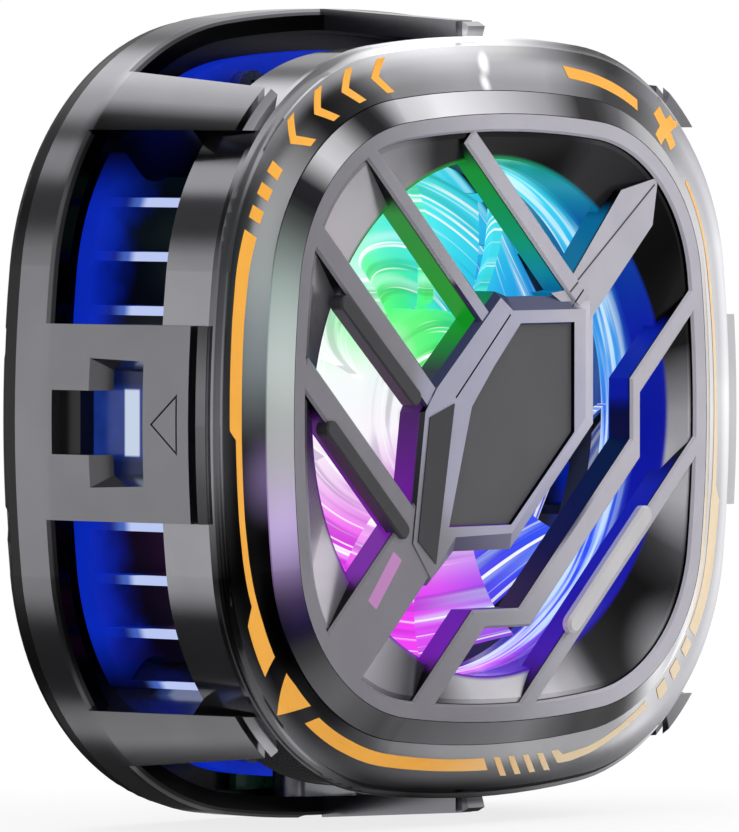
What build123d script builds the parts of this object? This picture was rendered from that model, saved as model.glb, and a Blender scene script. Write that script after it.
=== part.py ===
from build123d import *
import math
import os

# Phone cooling fan, in millimetres.
# Each piece is modelled lying on its phone side: x to the right, y up the face, z forward
# from the phone's back. It is then stood up, so the finished part has +Z up and its grille
# faces -Y, with the origin at the middle of the face that touches the phone.

os.makedirs("parts", exist_ok=True)

# Outline that every shell follows: four bowed sides joined by round corners
half_width = 34.3
side_bow_radius = 107.0
corner_radius = 23.6

# Depths, counted forward from the phone
pad_thickness = 0.5
cover_back = 1.0
cover_rim_depth = 1.9
inlet_strip_margin = 0.45
block_depth = 15.2
panel_gap = 0.75
window_depth = 10.1
bezel_crown_depth = 2.45
ring_front_depth = 3.85

# Housing walls
cover_wall = 1.2
cover_rim_wall = 1.8
cover_rim_inset = 0.25
cover_edge_round = 0.9
housing_wall = 1.8
housing_draft = 1.0
skirt_wall = 1.2
web_thickness = 1.0
slip_gap = 0.15
cut_over_length = 2.0

# Windows and blocks round the sides
side_block_half_width = 8.15
corner_block_length = 10.11
rib_half_width = 1.0
window_bevel = 0.5
arrow_front = 1.2
arrow_length = 2.9
arrow_half_width = 2.55
groove_width = 0.16
groove_depth = 0.2

# Slot in each side block, with its light guide and end stop
slot_neck_half_width = 2.67
slot_half_width = 5.6
slot_start = 0.4
slot_neck_length = 3.85
slot_length = 6.05
slot_bevel = 1.0
guide_thickness = 1.0
guide_margin = 1.4
guide_gap = 0.95
stop_length = 2.3
stop_recess = 1.1

# Cold side: pad, plate, cooler chip and the ring of magnets
magnet_inset = 7.3
magnet_width = 3.7
magnet_to_plate_gap = 0.9
plate_step = 1.9
pad_inset = 0.5
plate_flange_thickness = 0.8
plate_clearance = 0.2
chip_corner_gap = 1.19
chip_thickness = 3.2
ceramic_thickness = 0.65
pellet_side = 1.5
pellet_rows = 6
foam_gap = 0.3
magnet_thickness = 1.6
magnet_places = 16
magnet_opening_half_angle = 22.5
magnet_gap_angle = 2.5
magnet_shield_thickness = 0.4

# Heat sink
sink_inset = 3.5
sink_base_thickness = 1.8
fin_pitch = 4.47
fin_offset = 0.3
fin_thickness = 0.75
fins_each_way = 5
fin_gap_to_web = 0.3
fin_root_height = 2.8
fan_pocket_gap = 0.6
guide_notch_gap = 0.6

# Screws
screw_radius = 0.9
screw_head_radius = 1.8
screw_head_height = 1.2
screw_shank = 3.6
screw_hole_spare = 0.6
screw_recess_width = 0.45
screw_recess_length = 2.0
screw_recess_depth = 0.6
hole_clearance = 0.15
corner_boss_inset = 6.05
corner_boss_radius = 2.3
sink_post_angle = 66.3
sink_post_radius = 1.9
sink_post_gap = 0.92
boss_clearance = 0.4

# Air path and fan
bore_inset = 2.3
throat_wall = 1.1
blade_tip_gap = 0.8
impeller_hub_radius = 9.0
impeller_gap = 0.5
impeller_reach = 1.4
hub_wall = 0.95
hub_lid = 1.0
blade_count = 11
blade_thickness = 1.0
blade_end_gap = 0.05
blade_root_width = 9.6
blade_tip_width = 15.8
blade_camber_share = 0.12
blade_sweep_angle = 20.0
frame_ring_depth = 2.2
frame_ring_wall = 1.3
frame_base_thickness = 1.2
frame_arm_width = 2.2
frame_arms = 3
frame_ear_radius = 2.1
frame_ear_offset = 1.7
frame_ear_thickness = 1.2
frame_clearance = 0.3
shaft_running_gap = 0.04
tube_share = 0.43
bush_share = 0.69
shaft_share = 0.571
tube_height = 4.3
yoke_wall = 0.75
rotor_magnet_wall = 0.9
rotor_air_gap = 0.5
stator_core_thickness = 2.6
stator_poles = 6
pole_width = 1.2
pole_shoe_depth = 0.8
pole_shoe_angle = 44.0
coil_width = 2.2
motor_board_margin = 0.3
motor_board_thickness = 0.6
rotor_gap = 0.25

# Lights
board_thickness = 0.8
led_board_inset = 1.55
board_clearance = 0.2
led_count = 12
led_length = 2.0
led_width = 1.6
led_height = 0.8
led_inset = 3.4

# Front rings and grille
crown_inset = 2.35
crown_edge_drop = 1.95
crown_shoulder_drop = 1.1
crown_shoulder_width = 0.75
crown_shoulder_bulge = 0.18
crown_bulge = 0.2
bezel_band_width = 4.5
spigot_depth = 2.0
spigot_wall = 1.0
duct_flange_thickness = 1.0
trim_drop = 1.3
trim_width = 2.0
ring_width = 1.45
joint_line = 0.06
dish_rim = 0.45
dish_rim_drop = 0.4
dish_depth = 1.1
bar_depth = 2.6
bar_chamfer = 0.22
hub_step_height = 0.1
hub_bevel_drop = 0.55
hub_plate_recess = 0.3
hub_plate_thickness = 0.9
hub_plate_gap = 0.1
insert_height = 0.35
insert_depth = 1.0
insert_chamfer = 0.15
pill_height = 0.8
pill_chamfer = 0.25
tab_inset = 1.1
tab_line_half_length = 6.45
tab_line_drop = 1.4
tab_line_inset = 0.5

# Inlet and its board
inlet_width = 8.94
inlet_height = 3.2
inlet_length = 7.3
inlet_wall = 0.3
inlet_tongue_width = 6.7
inlet_tongue_thickness = 0.7
inlet_tongue_share = 0.8
inlet_setback = 0.4
inlet_clearance = 0.15
control_board_width = 16.0

# Stations worked out from the depths above
strip_depth = inlet_height + inlet_strip_margin * 2
cover_front = cover_back + cover_rim_depth
window_back = cover_front + strip_depth
window_front = window_back + window_depth
housing_front = window_back + block_depth
bezel_back = housing_front + panel_gap
crown_front = bezel_back + bezel_crown_depth
ring_front = bezel_back + ring_front_depth
cover_inside = cover_back + cover_wall
plate_front = cover_inside + plate_flange_thickness
chip_front = plate_front + chip_thickness
sink_base_front = chip_front + sink_base_thickness
fin_root_front = sink_base_front + fin_root_height
fin_front = window_front - fin_gap_to_web
web_front = window_front + web_thickness
spigot_back = bezel_back - spigot_depth
flange_front = bezel_back + slip_gap * 2
flange_back = flange_front - duct_flange_thickness
dish_front = ring_front - dish_rim_drop
dish_back = dish_front - dish_depth
bar_back = ring_front - bar_depth
hub_front = ring_front + hub_step_height
frame_back = fin_root_front + frame_clearance
frame_front = frame_back + frame_base_thickness
ear_back = window_front - frame_ear_thickness
impeller_back = frame_front + impeller_gap
impeller_front = web_front + impeller_reach
screw_hole_depth = screw_shank + screw_hole_spare
cover_seat = cover_back + screw_head_height

# Half widths and radii, each from the one outside it
gap_half_width = half_width - housing_draft
skirt_half = gap_half_width - housing_wall - slip_gap
spigot_half = skirt_half - skirt_wall - slip_gap
flange_half = spigot_half - spigot_wall - slip_gap
crown_half_width = half_width - crown_inset
tab_half = half_width - tab_inset
bezel_inner_half = crown_half_width - bezel_band_width
grille_half = bezel_inner_half - trim_width - ring_width
bore_radius = grille_half - bore_inset
impeller_radius = bore_radius - blade_tip_gap
frame_ring_outer = bore_radius + frame_ring_wall
frame_ear_circle = frame_ring_outer + frame_ear_offset
fan_pocket_radius = frame_ring_outer + fan_pocket_gap
led_board_outer = skirt_half - skirt_wall - led_board_inset
led_circle = led_board_outer - led_inset
yoke_radius = impeller_hub_radius - hub_wall
rotor_magnet_outer = yoke_radius - yoke_wall
rotor_magnet_inner = rotor_magnet_outer - rotor_magnet_wall
stator_radius = rotor_magnet_inner - rotor_air_gap
tube_radius = stator_radius * tube_share
bush_radius = tube_radius * bush_share
shaft_radius = bush_radius * shaft_share
magnet_outer_radius = half_width - magnet_inset
magnet_inner_radius = magnet_outer_radius - magnet_width
plate_flange_radius = magnet_inner_radius - magnet_to_plate_gap
plate_radius = plate_flange_radius - plate_step
pad_radius = plate_radius - pad_inset
chip_side = (plate_flange_radius - chip_corner_gap) * math.sqrt(2)
sink_post_circle = magnet_outer_radius + sink_post_radius + sink_post_gap
window_end = half_width - corner_block_length
guide_face = half_width - housing_wall - guide_gap
inlet_end = -half_width + inlet_setback + inlet_length + boss_clearance
inlet_middle = cover_front + strip_depth / 2

# How far the arc centres lie from the middle, the same for every parallel outline
bow_offset = side_bow_radius - half_width
centre_gap = side_bow_radius - corner_radius
corner_centre = (math.sqrt(2 * centre_gap**2 - bow_offset**2) - bow_offset) / 2
side_swing = math.degrees(math.atan2(corner_centre, corner_centre + bow_offset))
corner_boss_place = corner_centre + (corner_radius - corner_boss_inset) / math.sqrt(2)


def polar(radius, angle, centre=0.0):
    return (centre + radius * math.cos(math.radians(angle)), radius * math.sin(math.radians(angle)))


def turned(point, angle):
    cosine = math.cos(math.radians(angle))
    sine = math.sin(math.radians(angle))
    return (point[0] * cosine - point[1] * sine, point[0] * sine + point[1] * cosine)


def outline_edges(half):
    # Starts at the middle of the right side and runs anticlockwise
    bow = half + bow_offset
    corner = half - half_width + corner_radius
    diagonal = corner_centre + corner / math.sqrt(2)
    side_middle = polar(bow, 0, -bow_offset)
    half_side = polar(bow, side_swing / 2, -bow_offset)
    side_end = polar(bow, side_swing, -bow_offset)
    edges = []
    for quarter in range(4):
        spots = [side_middle, half_side, side_end, (diagonal, diagonal)]
        spots += [(y, x) for x, y in (side_end, half_side, side_middle)]
        spots = [turned(spot, 90 * quarter) for spot in spots]
        for first in (0, 2, 4):
            edges.append(ThreePointArc(*spots[first:first + 3]))
    return edges


def outline(half):
    return make_face(outline_edges(half))


def matching_circle(radius):
    # A circle cut into the same twelve arcs as the outline, so the two can be lofted
    start = polar(half_width + bow_offset, side_swing, -bow_offset)
    turn = math.degrees(math.atan2(start[1], start[0]))
    edges = []
    for quarter in range(4):
        for low, high in ((0, turn), (turn, 90 - turn), (90 - turn, 90)):
            edges.append(CenterArc((0, 0), radius, 90 * quarter + low, high - low))
    return make_face(edges)


def raised(sketch, low, high):
    return Pos(0, 0, low) * extrude(sketch, high - low)


def raised_bevelled(sketch, low, high, bevel):
    # Raised with a 45 degree bevel round its front edge
    top = extrude(sketch, bevel, taper=45)
    return raised(sketch, low, high - bevel) + Pos(0, 0, high - bevel) * top


def ring_from_edges(edges):
    # Carries a closed profile, drawn as half width against forward, round the outline
    profile = Plane.XZ * make_face(edges)
    return sweep(profile, path=Wire(outline_edges(half_width)))


def ring_from_profile(points):
    return ring_from_edges(Polyline(*points, close=True).edges())


def block(x_low, x_high, y_low, y_high, z_low, z_high):
    middle = ((x_low + x_high) / 2, (y_low + y_high) / 2, (z_low + z_high) / 2)
    return Pos(*middle) * Box(x_high - x_low, y_high - y_low, z_high - z_low)


def side_block(side, near, far, y_low, y_high, z_low, z_high):
    # A block on the right (side 1) or the left (side -1), between two distances from the middle
    x_low, x_high = sorted((side * near, side * far))
    return block(x_low, x_high, y_low, y_high, z_low, z_high)


def rod(radius, low, high, x=0.0, y=0.0):
    return Pos(x, y, (low + high) / 2) * Cylinder(radius, high - low)


def tube(inner, outer, low, high):
    return rod(outer, low, high) - rod(inner, low - cut_over_length, high + cut_over_length)


def wedge(half_angle, reach, low, high):
    sector = [(0, 0), polar(reach, -half_angle), polar(reach, half_angle)]
    return raised(make_face(Polyline(*sector, close=True)), low, high)


def corners(place):
    return [(place * sx, place * sy) for sx in (1, -1) for sy in (1, -1)]


def strip(start, end, width):
    # A flat bar between two points, square at both ends
    length = math.hypot(end[0] - start[0], end[1] - start[1])
    angle = math.degrees(math.atan2(end[1] - start[1], end[0] - start[0]))
    middle = Pos((start[0] + end[0]) / 2, (start[1] + end[1]) / 2)
    return middle * Rot(0, 0, angle) * Rectangle(length, width)


def pill(start, end, width):
    length = math.hypot(end[0] - start[0], end[1] - start[1])
    angle = math.degrees(math.atan2(end[1] - start[1], end[0] - start[0]))
    middle = Pos((start[0] + end[0]) / 2, (start[1] + end[1]) / 2)
    return middle * Rot(0, 0, angle) * SlotOverall(length, width)


def scaled(points, size):
    return [(x * size, y * size) for x, y in points]


def save(name, shape):
    upright = Plane.XZ.location * shape
    upright.label = name
    export_step(upright, "parts/" + name + ".step")


def save_group(name, shapes):
    save(name, Compound(children=list(shapes)))


def sink_posts():
    x, y = polar(sink_post_circle, sink_post_angle)
    return [(x * sx, y * sy) for sx in (1, -1) for sy in (1, -1)]


def frame_ears():
    return [polar(frame_ear_circle, 90 + 360 / frame_arms * index) for index in range(frame_arms)]


# Rear cover: a shallow dish that closes the phone side
def make_rear_cover():
    rim_half = half_width - cover_rim_inset
    cover = raised(outline(rim_half), cover_back, cover_front)
    back_edges = cover.faces().sort_by(Axis.Z)[0].outer_wire().edges()
    cover = fillet(back_edges, cover_edge_round)
    cover -= raised(outline(rim_half - cover_rim_wall), cover_inside, cover_front + cut_over_length)
    for x, y in corners(corner_boss_place):
        cover += rod(corner_boss_radius, cover_inside, cover_front, x, y)
    for x, y in sink_posts():
        cover += rod(sink_post_radius, cover_inside, chip_front, x, y)
        cover -= rod(screw_radius, cover_inside, chip_front + cut_over_length, x, y)
    cover -= rod(plate_radius + plate_clearance, 0, cover_front)
    for x, y in corners(corner_boss_place):
        cover -= rod(screw_radius + hole_clearance, 0, cover_front + cut_over_length, x, y)
        cover -= rod(screw_head_radius + hole_clearance, 0, cover_back + screw_head_height, x, y)
    return cover


def make_cold_plate():
    flange = rod(plate_flange_radius, cover_inside, plate_front)
    return flange + rod(plate_radius, pad_thickness, plate_front)


def make_magnets():
    ring = tube(magnet_inner_radius, magnet_outer_radius, cover_inside, cover_inside + magnet_thickness)
    pitch = 360 / magnet_places
    piece = ring & wedge((pitch - magnet_gap_angle) / 2, half_width, 0, chip_front)
    magnets = []
    for index in range(magnet_places):
        angle = pitch * (index + 0.5)
        if abs(angle - 270) > magnet_opening_half_angle:
            magnets.append(Rot(0, 0, angle) * piece.solid())
    return magnets


def make_magnet_shield():
    low = cover_inside + magnet_thickness
    shield = tube(magnet_inner_radius, magnet_outer_radius, low, low + magnet_shield_thickness)
    return shield - Rot(0, 0, 270) * wedge(magnet_opening_half_angle, half_width, 0, chip_front)


def make_ceramic(low):
    half = chip_side / 2
    return block(-half, half, -half, half, low, low + ceramic_thickness)


def make_pellets():
    low = plate_front + ceramic_thickness
    high = chip_front - ceramic_thickness
    pitch = chip_side / pellet_rows
    side = pellet_side / 2
    pellets = []
    for row in range(pellet_rows):
        for column in range(pellet_rows):
            x = (column + 0.5) * pitch - chip_side / 2
            y = (row + 0.5) * pitch - chip_side / 2
            pellets.append(block(x - side, x + side, y - side, y + side, low, high))
    return pellets


def make_foam():
    half = chip_side / 2 + foam_gap
    foam = rod(plate_flange_radius, plate_front, chip_front)
    return foam - block(-half, half, -half, half, 0, chip_front + cut_over_length)


# Heat sink: base plate with level fins, and a round pocket that the fan sits in
def make_heat_sink():
    sink_half = half_width - sink_inset
    body = raised(outline(sink_half), chip_front, sink_base_front)
    inside = raised(outline(sink_half), chip_front, fin_front)
    half = fin_thickness / 2
    for index in range(-fins_each_way, fins_each_way + 1):
        y = fin_offset + fin_pitch * index
        body += block(-half_width, half_width, y - half, y + half, sink_base_front, fin_front) & inside
    over = fin_front + cut_over_length
    body -= rod(fan_pocket_radius, fin_root_front, over)
    for x, y in corners(corner_boss_place):
        body -= corner_boss(x, y, boss_clearance, 0, over)
    for x, y in frame_ears():
        body -= rod(frame_ear_radius + frame_clearance, ear_back - frame_clearance, over, x, y)
    for x, y in sink_posts():
        body -= rod(screw_radius + hole_clearance, 0, over, x, y)
        body -= rod(screw_head_radius + boss_clearance, sink_base_front, over, x, y)
    guide_inner = guide_face - guide_thickness - guide_notch_gap
    notch_half = slot_half_width + guide_margin + guide_notch_gap
    for side in (1, -1):
        body -= side_block(side, guide_inner, half_width, -notch_half, notch_half, 0, over)
    notch = control_board_width / 2 + boss_clearance
    body -= block(-notch, notch, -half_width, inlet_end + boss_clearance, 0, fin_front)
    return body


# Mid housing: strip round the back with blocks that reach forward to the bezel
def make_mid_housing():
    profile = [
        (half_width - cover_rim_inset, cover_front),
        (half_width, cover_front + cover_rim_inset),
        (half_width, window_back),
        (gap_half_width, housing_front),
        (gap_half_width - housing_wall, housing_front),
        (half_width - housing_wall, window_back),
        (half_width - housing_wall, cover_front),
    ]
    housing = ring_from_profile(profile)
    reach = half_width + cut_over_length
    over = housing_front + cut_over_length
    edge = window_back - window_bevel
    bevel = ring_from_profile([
        (half_width - window_bevel, window_back),
        (reach, window_back),
        (reach, edge - cut_over_length),
    ])
    for side in (1, -1):
        for low, high in ((side_block_half_width, window_end), (-window_end, -side_block_half_width)):
            housing -= side_block(side, window_end, reach, low, high, window_back, over)
            housing -= bevel & side_block(side, window_end, reach, low, high, 0, over)
        for low, high in ((rib_half_width, window_end), (-window_end, -rib_half_width)):
            housing -= Rot(0, 0, 90) * side_block(side, window_end, reach, low, high, window_back, over)
            housing -= bevel & (Rot(0, 0, 90) * side_block(side, window_end, reach, low, high, 0, over))
        housing -= slot_cut(side)
        housing -= arrow_groove(side)
    limit = raised(outline(half_width - housing_wall / 2), cover_front, window_front)
    for x, y in corners(corner_boss_place):
        housing += corner_boss(x, y, 0, cover_front, window_front) & limit
        housing -= rod(screw_radius, 0, cover_front + screw_hole_depth, x, y)
        housing -= rod(screw_radius, window_front - screw_hole_depth, over, x, y)
    return housing - inlet_shape(inlet_clearance, -reach, -half_width + housing_wall * 2)


def slot_cut(side):
    # A narrow neck that opens into a wide slot, whose walls slope in on three sides
    start = window_back + slot_start
    neck_end = start + slot_neck_length
    slot_end = neck_end + slot_length
    face = half_width + cut_over_length
    inside = gap_half_width - housing_wall - cut_over_length
    neck = side_block(side, inside, face, -slot_neck_half_width, slot_neck_half_width, start, slot_end)
    slope = slot_bevel / housing_wall
    sections = []
    for place in (inside, face):
        shrink = slope * (half_width - place)
        half = slot_half_width - shrink
        back = neck_end + shrink
        points = [(-half, back), (half, back), (half, slot_end), (-half, slot_end)]
        flat = make_face(Polyline(*points, close=True))
        sections.append(Plane(origin=(side * place, 0, 0), x_dir=(0, 1, 0), z_dir=(1, 0, 0)) * flat)
    return neck + loft(sections)


def arrow_groove(side):
    # A fine triangular line, cut just into the face of the block, that points to the phone
    tip = housing_front - arrow_front - arrow_length
    points = [(0, tip), (-arrow_half_width, tip + arrow_length), (arrow_half_width, tip + arrow_length)]
    triangle = make_face(Polyline(*points, close=True))
    line = triangle - offset(triangle, -groove_width, kind=Kind.INTERSECTION)
    plane = Plane(origin=(side * half_width, 0, 0), x_dir=(0, 1, 0), z_dir=(1, 0, 0))
    prism = extrude(plane * line, cut_over_length, both=True)
    skin = ring_from_profile([
        (half_width + cut_over_length, window_back),
        (half_width - groove_depth, window_back),
        (gap_half_width - groove_depth, housing_front),
        (gap_half_width + cut_over_length, housing_front),
    ])
    return prism & skin


def corner_boss(x, y, gap, low, high):
    # Screw boss with the arm that ties it to the wall of its corner
    radius = corner_boss_radius + gap
    far = (x * half_width / corner_boss_place, y * half_width / corner_boss_place)
    return rod(radius, low, high, x, y) + raised(strip((x, y), far, radius * 2), low, high)


def inlet_shape(gap, y_low, y_high):
    # Rounded cross-section of the socket shell, run up the face from y_low to y_high
    face = SlotOverall(inlet_width + gap * 2, inlet_height + gap * 2)
    plane = Plane(origin=(0, y_low, inlet_middle), x_dir=(1, 0, 0), z_dir=(0, 1, 0))
    return extrude(plane * face, y_high - y_low)


# Inner shroud: the dark skirt seen through the windows, and the web the fan hangs from
def make_inner_shroud():
    shroud = raised(outline(skirt_half), window_front, bezel_back)
    shroud -= raised(outline(skirt_half - skirt_wall), web_front, bezel_back + cut_over_length)
    shroud -= rod(bore_radius, 0, bezel_back)
    for x, y in corners(corner_boss_place) + frame_ears():
        shroud -= rod(screw_radius + hole_clearance, 0, bezel_back, x, y)
    return shroud


# Front bezel: a crowned band with a spigot behind it, and tabs that meet the blocks
def make_front_bezel():
    edge_z = crown_front - crown_edge_drop
    shoulder = (crown_half_width - crown_shoulder_width, crown_front - crown_shoulder_drop)
    edge = (crown_half_width, edge_z)
    rim = (bezel_inner_half, crown_front)
    spigot_inner = spigot_half - spigot_wall
    behind = [
        rim,
        (bezel_inner_half, flange_front),
        (spigot_inner, flange_front),
        (spigot_inner, spigot_back),
        (spigot_half, spigot_back),
        (spigot_half, bezel_back),
        (crown_half_width, bezel_back),
        edge,
    ]
    profile = list(Polyline(*behind).edges())
    profile.append(SagittaArc(edge, shoulder, crown_shoulder_bulge))
    profile.append(SagittaArc(shoulder, rim, crown_bulge))
    bezel = ring_from_edges(profile)
    tabs = ring_from_profile([
        (crown_half_width - joint_line, bezel_back),
        (tab_half, bezel_back),
        (tab_half - panel_gap / 2, bezel_back + panel_gap),
        (crown_half_width - joint_line, edge_z - joint_line),
    ])
    reach = half_width + cut_over_length
    zones = [block(-reach, reach, -side_block_half_width, side_block_half_width, 0, reach)]
    zones.append(block(-rib_half_width, rib_half_width, -reach, reach, 0, reach))
    half = (reach - window_end) / 2
    for x, y in corners(window_end + half):
        zones.append(Pos(x, y) * block(-half, half, -half, half, 0, reach))
    for zone in zones:
        bezel += tabs & zone
    line_half = crown_half_width - tab_line_inset
    line_back = crown_front - tab_line_drop
    line = raised(outline(half_width) - outline(line_half), line_back, line_back + groove_width)
    half = tab_line_half_length
    return bezel - (line & block(-reach, reach, -half, half, 0, reach))


def make_trim_ring():
    outer = bezel_inner_half - joint_line
    inner = grille_half + ring_width + joint_line
    edge_front = ring_front - trim_drop
    profile = [(inner, flange_front), (outer, flange_front), (outer, edge_front), (inner, ring_front)]
    return ring_from_profile(profile)


def passage(gap):
    # The air's way in: a squarish dish that turns into the round bore
    top = Pos(0, 0, dish_front) * outline(grille_half - dish_rim - gap)
    bottom = Pos(0, 0, dish_back) * matching_circle(bore_radius - gap)
    way = loft([bottom, top], ruled=True)
    way += rod(bore_radius - gap, 0, dish_back)
    way += raised(outline(grille_half - dish_rim - gap), dish_front, ring_front + cut_over_length)
    return way


def make_air_duct():
    duct = raised(outline(flange_half), flange_back, flange_front)
    duct += raised(outline(grille_half - joint_line), flange_front, dish_front)
    return duct - passage(0)


# Grille bars: start, end and width, all as shares of the grille's half width
bar_shares = {
    "upper_left": ((-0.69, 0.95), (-0.08, 0.34), 0.063),
    "top": ((-0.17, 0.985), (0.42, 0.396), 0.073),
    "left_upper": ((-0.98, 0.69), (-0.33, 0.04), 0.088),
    "left_lower": ((-1.02, 0.195), (-0.45, -0.375), 0.1),
    "lower_right": ((1.06, -0.07), (0.07, -1.06), 0.063),
    "lower_left_wide": ((-0.36, -0.36), (-0.83, -0.83), 0.24),
}
chevron_shares = [
    (1.03, 0.484), (0.665, 0.125), (0.665, -0.088), (0.085, -0.667), (-0.154, -0.667), (-0.49, -1.003),
    (-0.37, -1.015), (-0.092, -0.733), (0.142, -0.733), (0.717, -0.156), (0.717, 0.073), (1.04, 0.396),
]
big_bar_shares = [
    (0.4, 0.25), (0.348, 0.377), (0.252, 0.432), (0.32, 0.44), (0.62, 0.79), (0.8, 0.83), (0.81, 0.81),
    (0.785, 0.665), (0.466, 0.343),
]
hub_face_shares = [
    (-0.345, 0.112), (-0.02, 0.42), (0.044, 0.374), (0.42, 0.374), (0.42, -0.008), (0.036, -0.404),
    (-0.252, -0.41), (-0.376, -0.551), (-0.468, -0.426), (-0.405, 0.031),
]
hub_base_shares = [
    (-0.36, 0.127), (-0.03, 0.442), (0.04, 0.421), (0.483, 0.421), (0.483, -0.03), (0.05, -0.46),
    (-0.241, -0.46), (-0.376, -0.575), (-0.478, -0.432), (-0.415, 0.026),
]
line_shares = [((0.355, 0.384), (0.787, 0.813)), ((0.03, 0.36), (-0.25, 0.075))]
hub_plate_shares = [
    (0.085, 0.325), (0.357, 0.325), (0.357, -0.055), (0.032, -0.37), (-0.28, -0.37), (-0.165, 0.04),
    (-0.05, 0.18),
]
flank_shares = [(-0.385, 0.01), (-0.26, 0.055), (-0.355, -0.5), (-0.445, -0.42)]
pill_shares = {
    "upper": ((-0.83, 0.43), (-0.44, 0.06), 0.06),
    "lower": ((-0.9, 0.0), (-0.5, -0.4), 0.06),
}
raised_pill_shares = ((0.735, -0.335), (0.315, -0.755), 0.07)


def polygon(points):
    return make_face(Polyline(*scaled(points, grille_half), close=True))


def place_strip(shares, shape=strip):
    start, end, width = shares
    return shape(*scaled((start, end), grille_half), width * grille_half)


def make_grille():
    faces = [polygon(chevron_shares), polygon(big_bar_shares)]
    faces += [place_strip(shares) for shares in bar_shares.values()]
    air = passage(joint_line)
    ring_limit = raised(outline(grille_half + ring_width / 2), dish_front + joint_line, ring_front)
    ring_face = outline(grille_half + ring_width) - outline(grille_half)
    grille = raised(ring_face, flange_front, ring_front)
    grille -= ring_from_profile([
        (grille_half - bar_chamfer, ring_front + bar_chamfer),
        (grille_half - bar_chamfer, ring_front - bar_chamfer * 2),
        (grille_half + bar_chamfer * 2, ring_front + bar_chamfer),
    ])
    for face in faces:
        bar = raised_bevelled(face, bar_back, ring_front, bar_chamfer)
        grille += (bar & air) + (bar & ring_limit)
    grille += hub_block()
    for ends in line_shares:
        line = strip(*scaled(ends, grille_half), groove_width)
        grille -= raised(line, ring_front - groove_depth, ring_front + cut_over_length)
    hub_floor = hub_front - hub_plate_recess - hub_plate_thickness
    pocket = offset(polygon(hub_plate_shares), hub_plate_gap, kind=Kind.INTERSECTION)
    grille -= raised(pocket, hub_floor, ring_front + cut_over_length)
    for shape in insert_faces():
        grille -= raised(shape, ring_front - insert_depth, ring_front + cut_over_length)
    return grille


def hub_block():
    # The hub's face, with a wide bevel that slopes down to its base
    base_front = hub_front - hub_bevel_drop
    base = polygon(hub_base_shares)
    sections = [Pos(0, 0, base_front) * base, Pos(0, 0, hub_front) * polygon(hub_face_shares)]
    return raised(base, bar_back, base_front) + loft(sections, ruled=True)


def insert_faces():
    return [place_strip(shares, pill) for shares in pill_shares.values()] + [polygon(flank_shares)]


def make_inserts():
    low = ring_front - insert_depth
    high = ring_front + insert_height
    return [raised_bevelled(face, low, high, insert_chamfer) for face in insert_faces()]


def make_raised_pill():
    face = place_strip(raised_pill_shares, pill)
    return raised_bevelled(face, ring_front, ring_front + pill_height, pill_chamfer)


def make_hub_plate():
    front = hub_front - hub_plate_recess
    return raised(polygon(hub_plate_shares), front - hub_plate_thickness, front)


def make_light_ring():
    return tube(bore_radius, bore_radius + throat_wall, web_front, flange_back)


def make_led_board():
    inner = bore_radius + throat_wall + board_clearance
    board = tube(inner, led_board_outer, web_front, web_front + board_thickness)
    for x, y in frame_ears():
        board -= rod(screw_head_radius + board_clearance, 0, impeller_front, x, y)
    return board


def make_leds():
    low = web_front + board_thickness
    lamp = Pos(led_circle, 0, low + led_height / 2) * Box(led_width, led_length, led_height)
    return [Rot(0, 0, 360 / led_count * (index + 0.5)) * lamp for index in range(led_count)]


# Fan frame: ring under the web, arms below the blades and the tube that holds the bush
def make_fan_frame():
    reach = frame_ring_outer + cut_over_length
    frame = tube(bore_radius, frame_ring_outer, window_front - frame_ring_depth, window_front)
    frame += rod(impeller_hub_radius, frame_back, frame_front)
    for x, y in frame_ears():
        frame += rod(frame_ear_radius, ear_back, window_front, x, y)
    arm = raised(strip((0, 0), (reach, 0), frame_arm_width), frame_back, frame_front)
    arm += block(bore_radius, reach, -frame_arm_width, frame_arm_width, frame_back, window_front)
    arm &= rod(frame_ring_outer, 0, window_front)
    for index in range(frame_arms):
        frame += Rot(0, 0, 360 / frame_arms * (index + 0.25)) * arm
    frame += rod(tube_radius, frame_back, frame_front + tube_height)
    frame -= rod(bush_radius, frame_front - frame_base_thickness / 2, impeller_front)
    for x, y in frame_ears():
        frame -= rod(screw_radius, 0, impeller_front, x, y)
    return frame


def make_bush():
    low = frame_front - frame_base_thickness / 2
    return tube(shaft_radius + shaft_running_gap, bush_radius, low, frame_front + tube_height)


def make_stator():
    low = frame_front + motor_board_thickness + rotor_gap
    high = low + stator_core_thickness
    core = rod(tube_radius + pole_shoe_depth, low, high)
    half = pole_width / 2
    pole = block(tube_radius, stator_radius - pole_shoe_depth / 2, -half, half, low, high)
    shoe = tube(stator_radius - pole_shoe_depth, stator_radius, low, high)
    pole += shoe & wedge(pole_shoe_angle / 2, stator_radius * 2, low, high)
    for index in range(stator_poles):
        core += Rot(0, 0, 360 / stator_poles * index) * pole
    return core - rod(tube_radius, 0, impeller_front)


def make_coils():
    # Each coil wraps its pole, a little clear of it all round
    low = frame_front + motor_board_thickness + rotor_gap / 2
    high = low + stator_core_thickness + rotor_gap
    start = tube_radius + pole_shoe_depth + joint_line
    end = stator_radius - pole_shoe_depth - rotor_gap
    half = pole_width / 2 + joint_line
    winding = block(start, end, -coil_width / 2, coil_width / 2, low, high)
    winding -= block(0, stator_radius, -half, half, low + rotor_gap / 2, high - rotor_gap / 2)
    return [Rot(0, 0, 360 / stator_poles * index) * winding for index in range(stator_poles)]


def make_motor_board():
    radius = stator_radius + motor_board_margin
    return tube(tube_radius, radius, frame_front, frame_front + motor_board_thickness)


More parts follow.
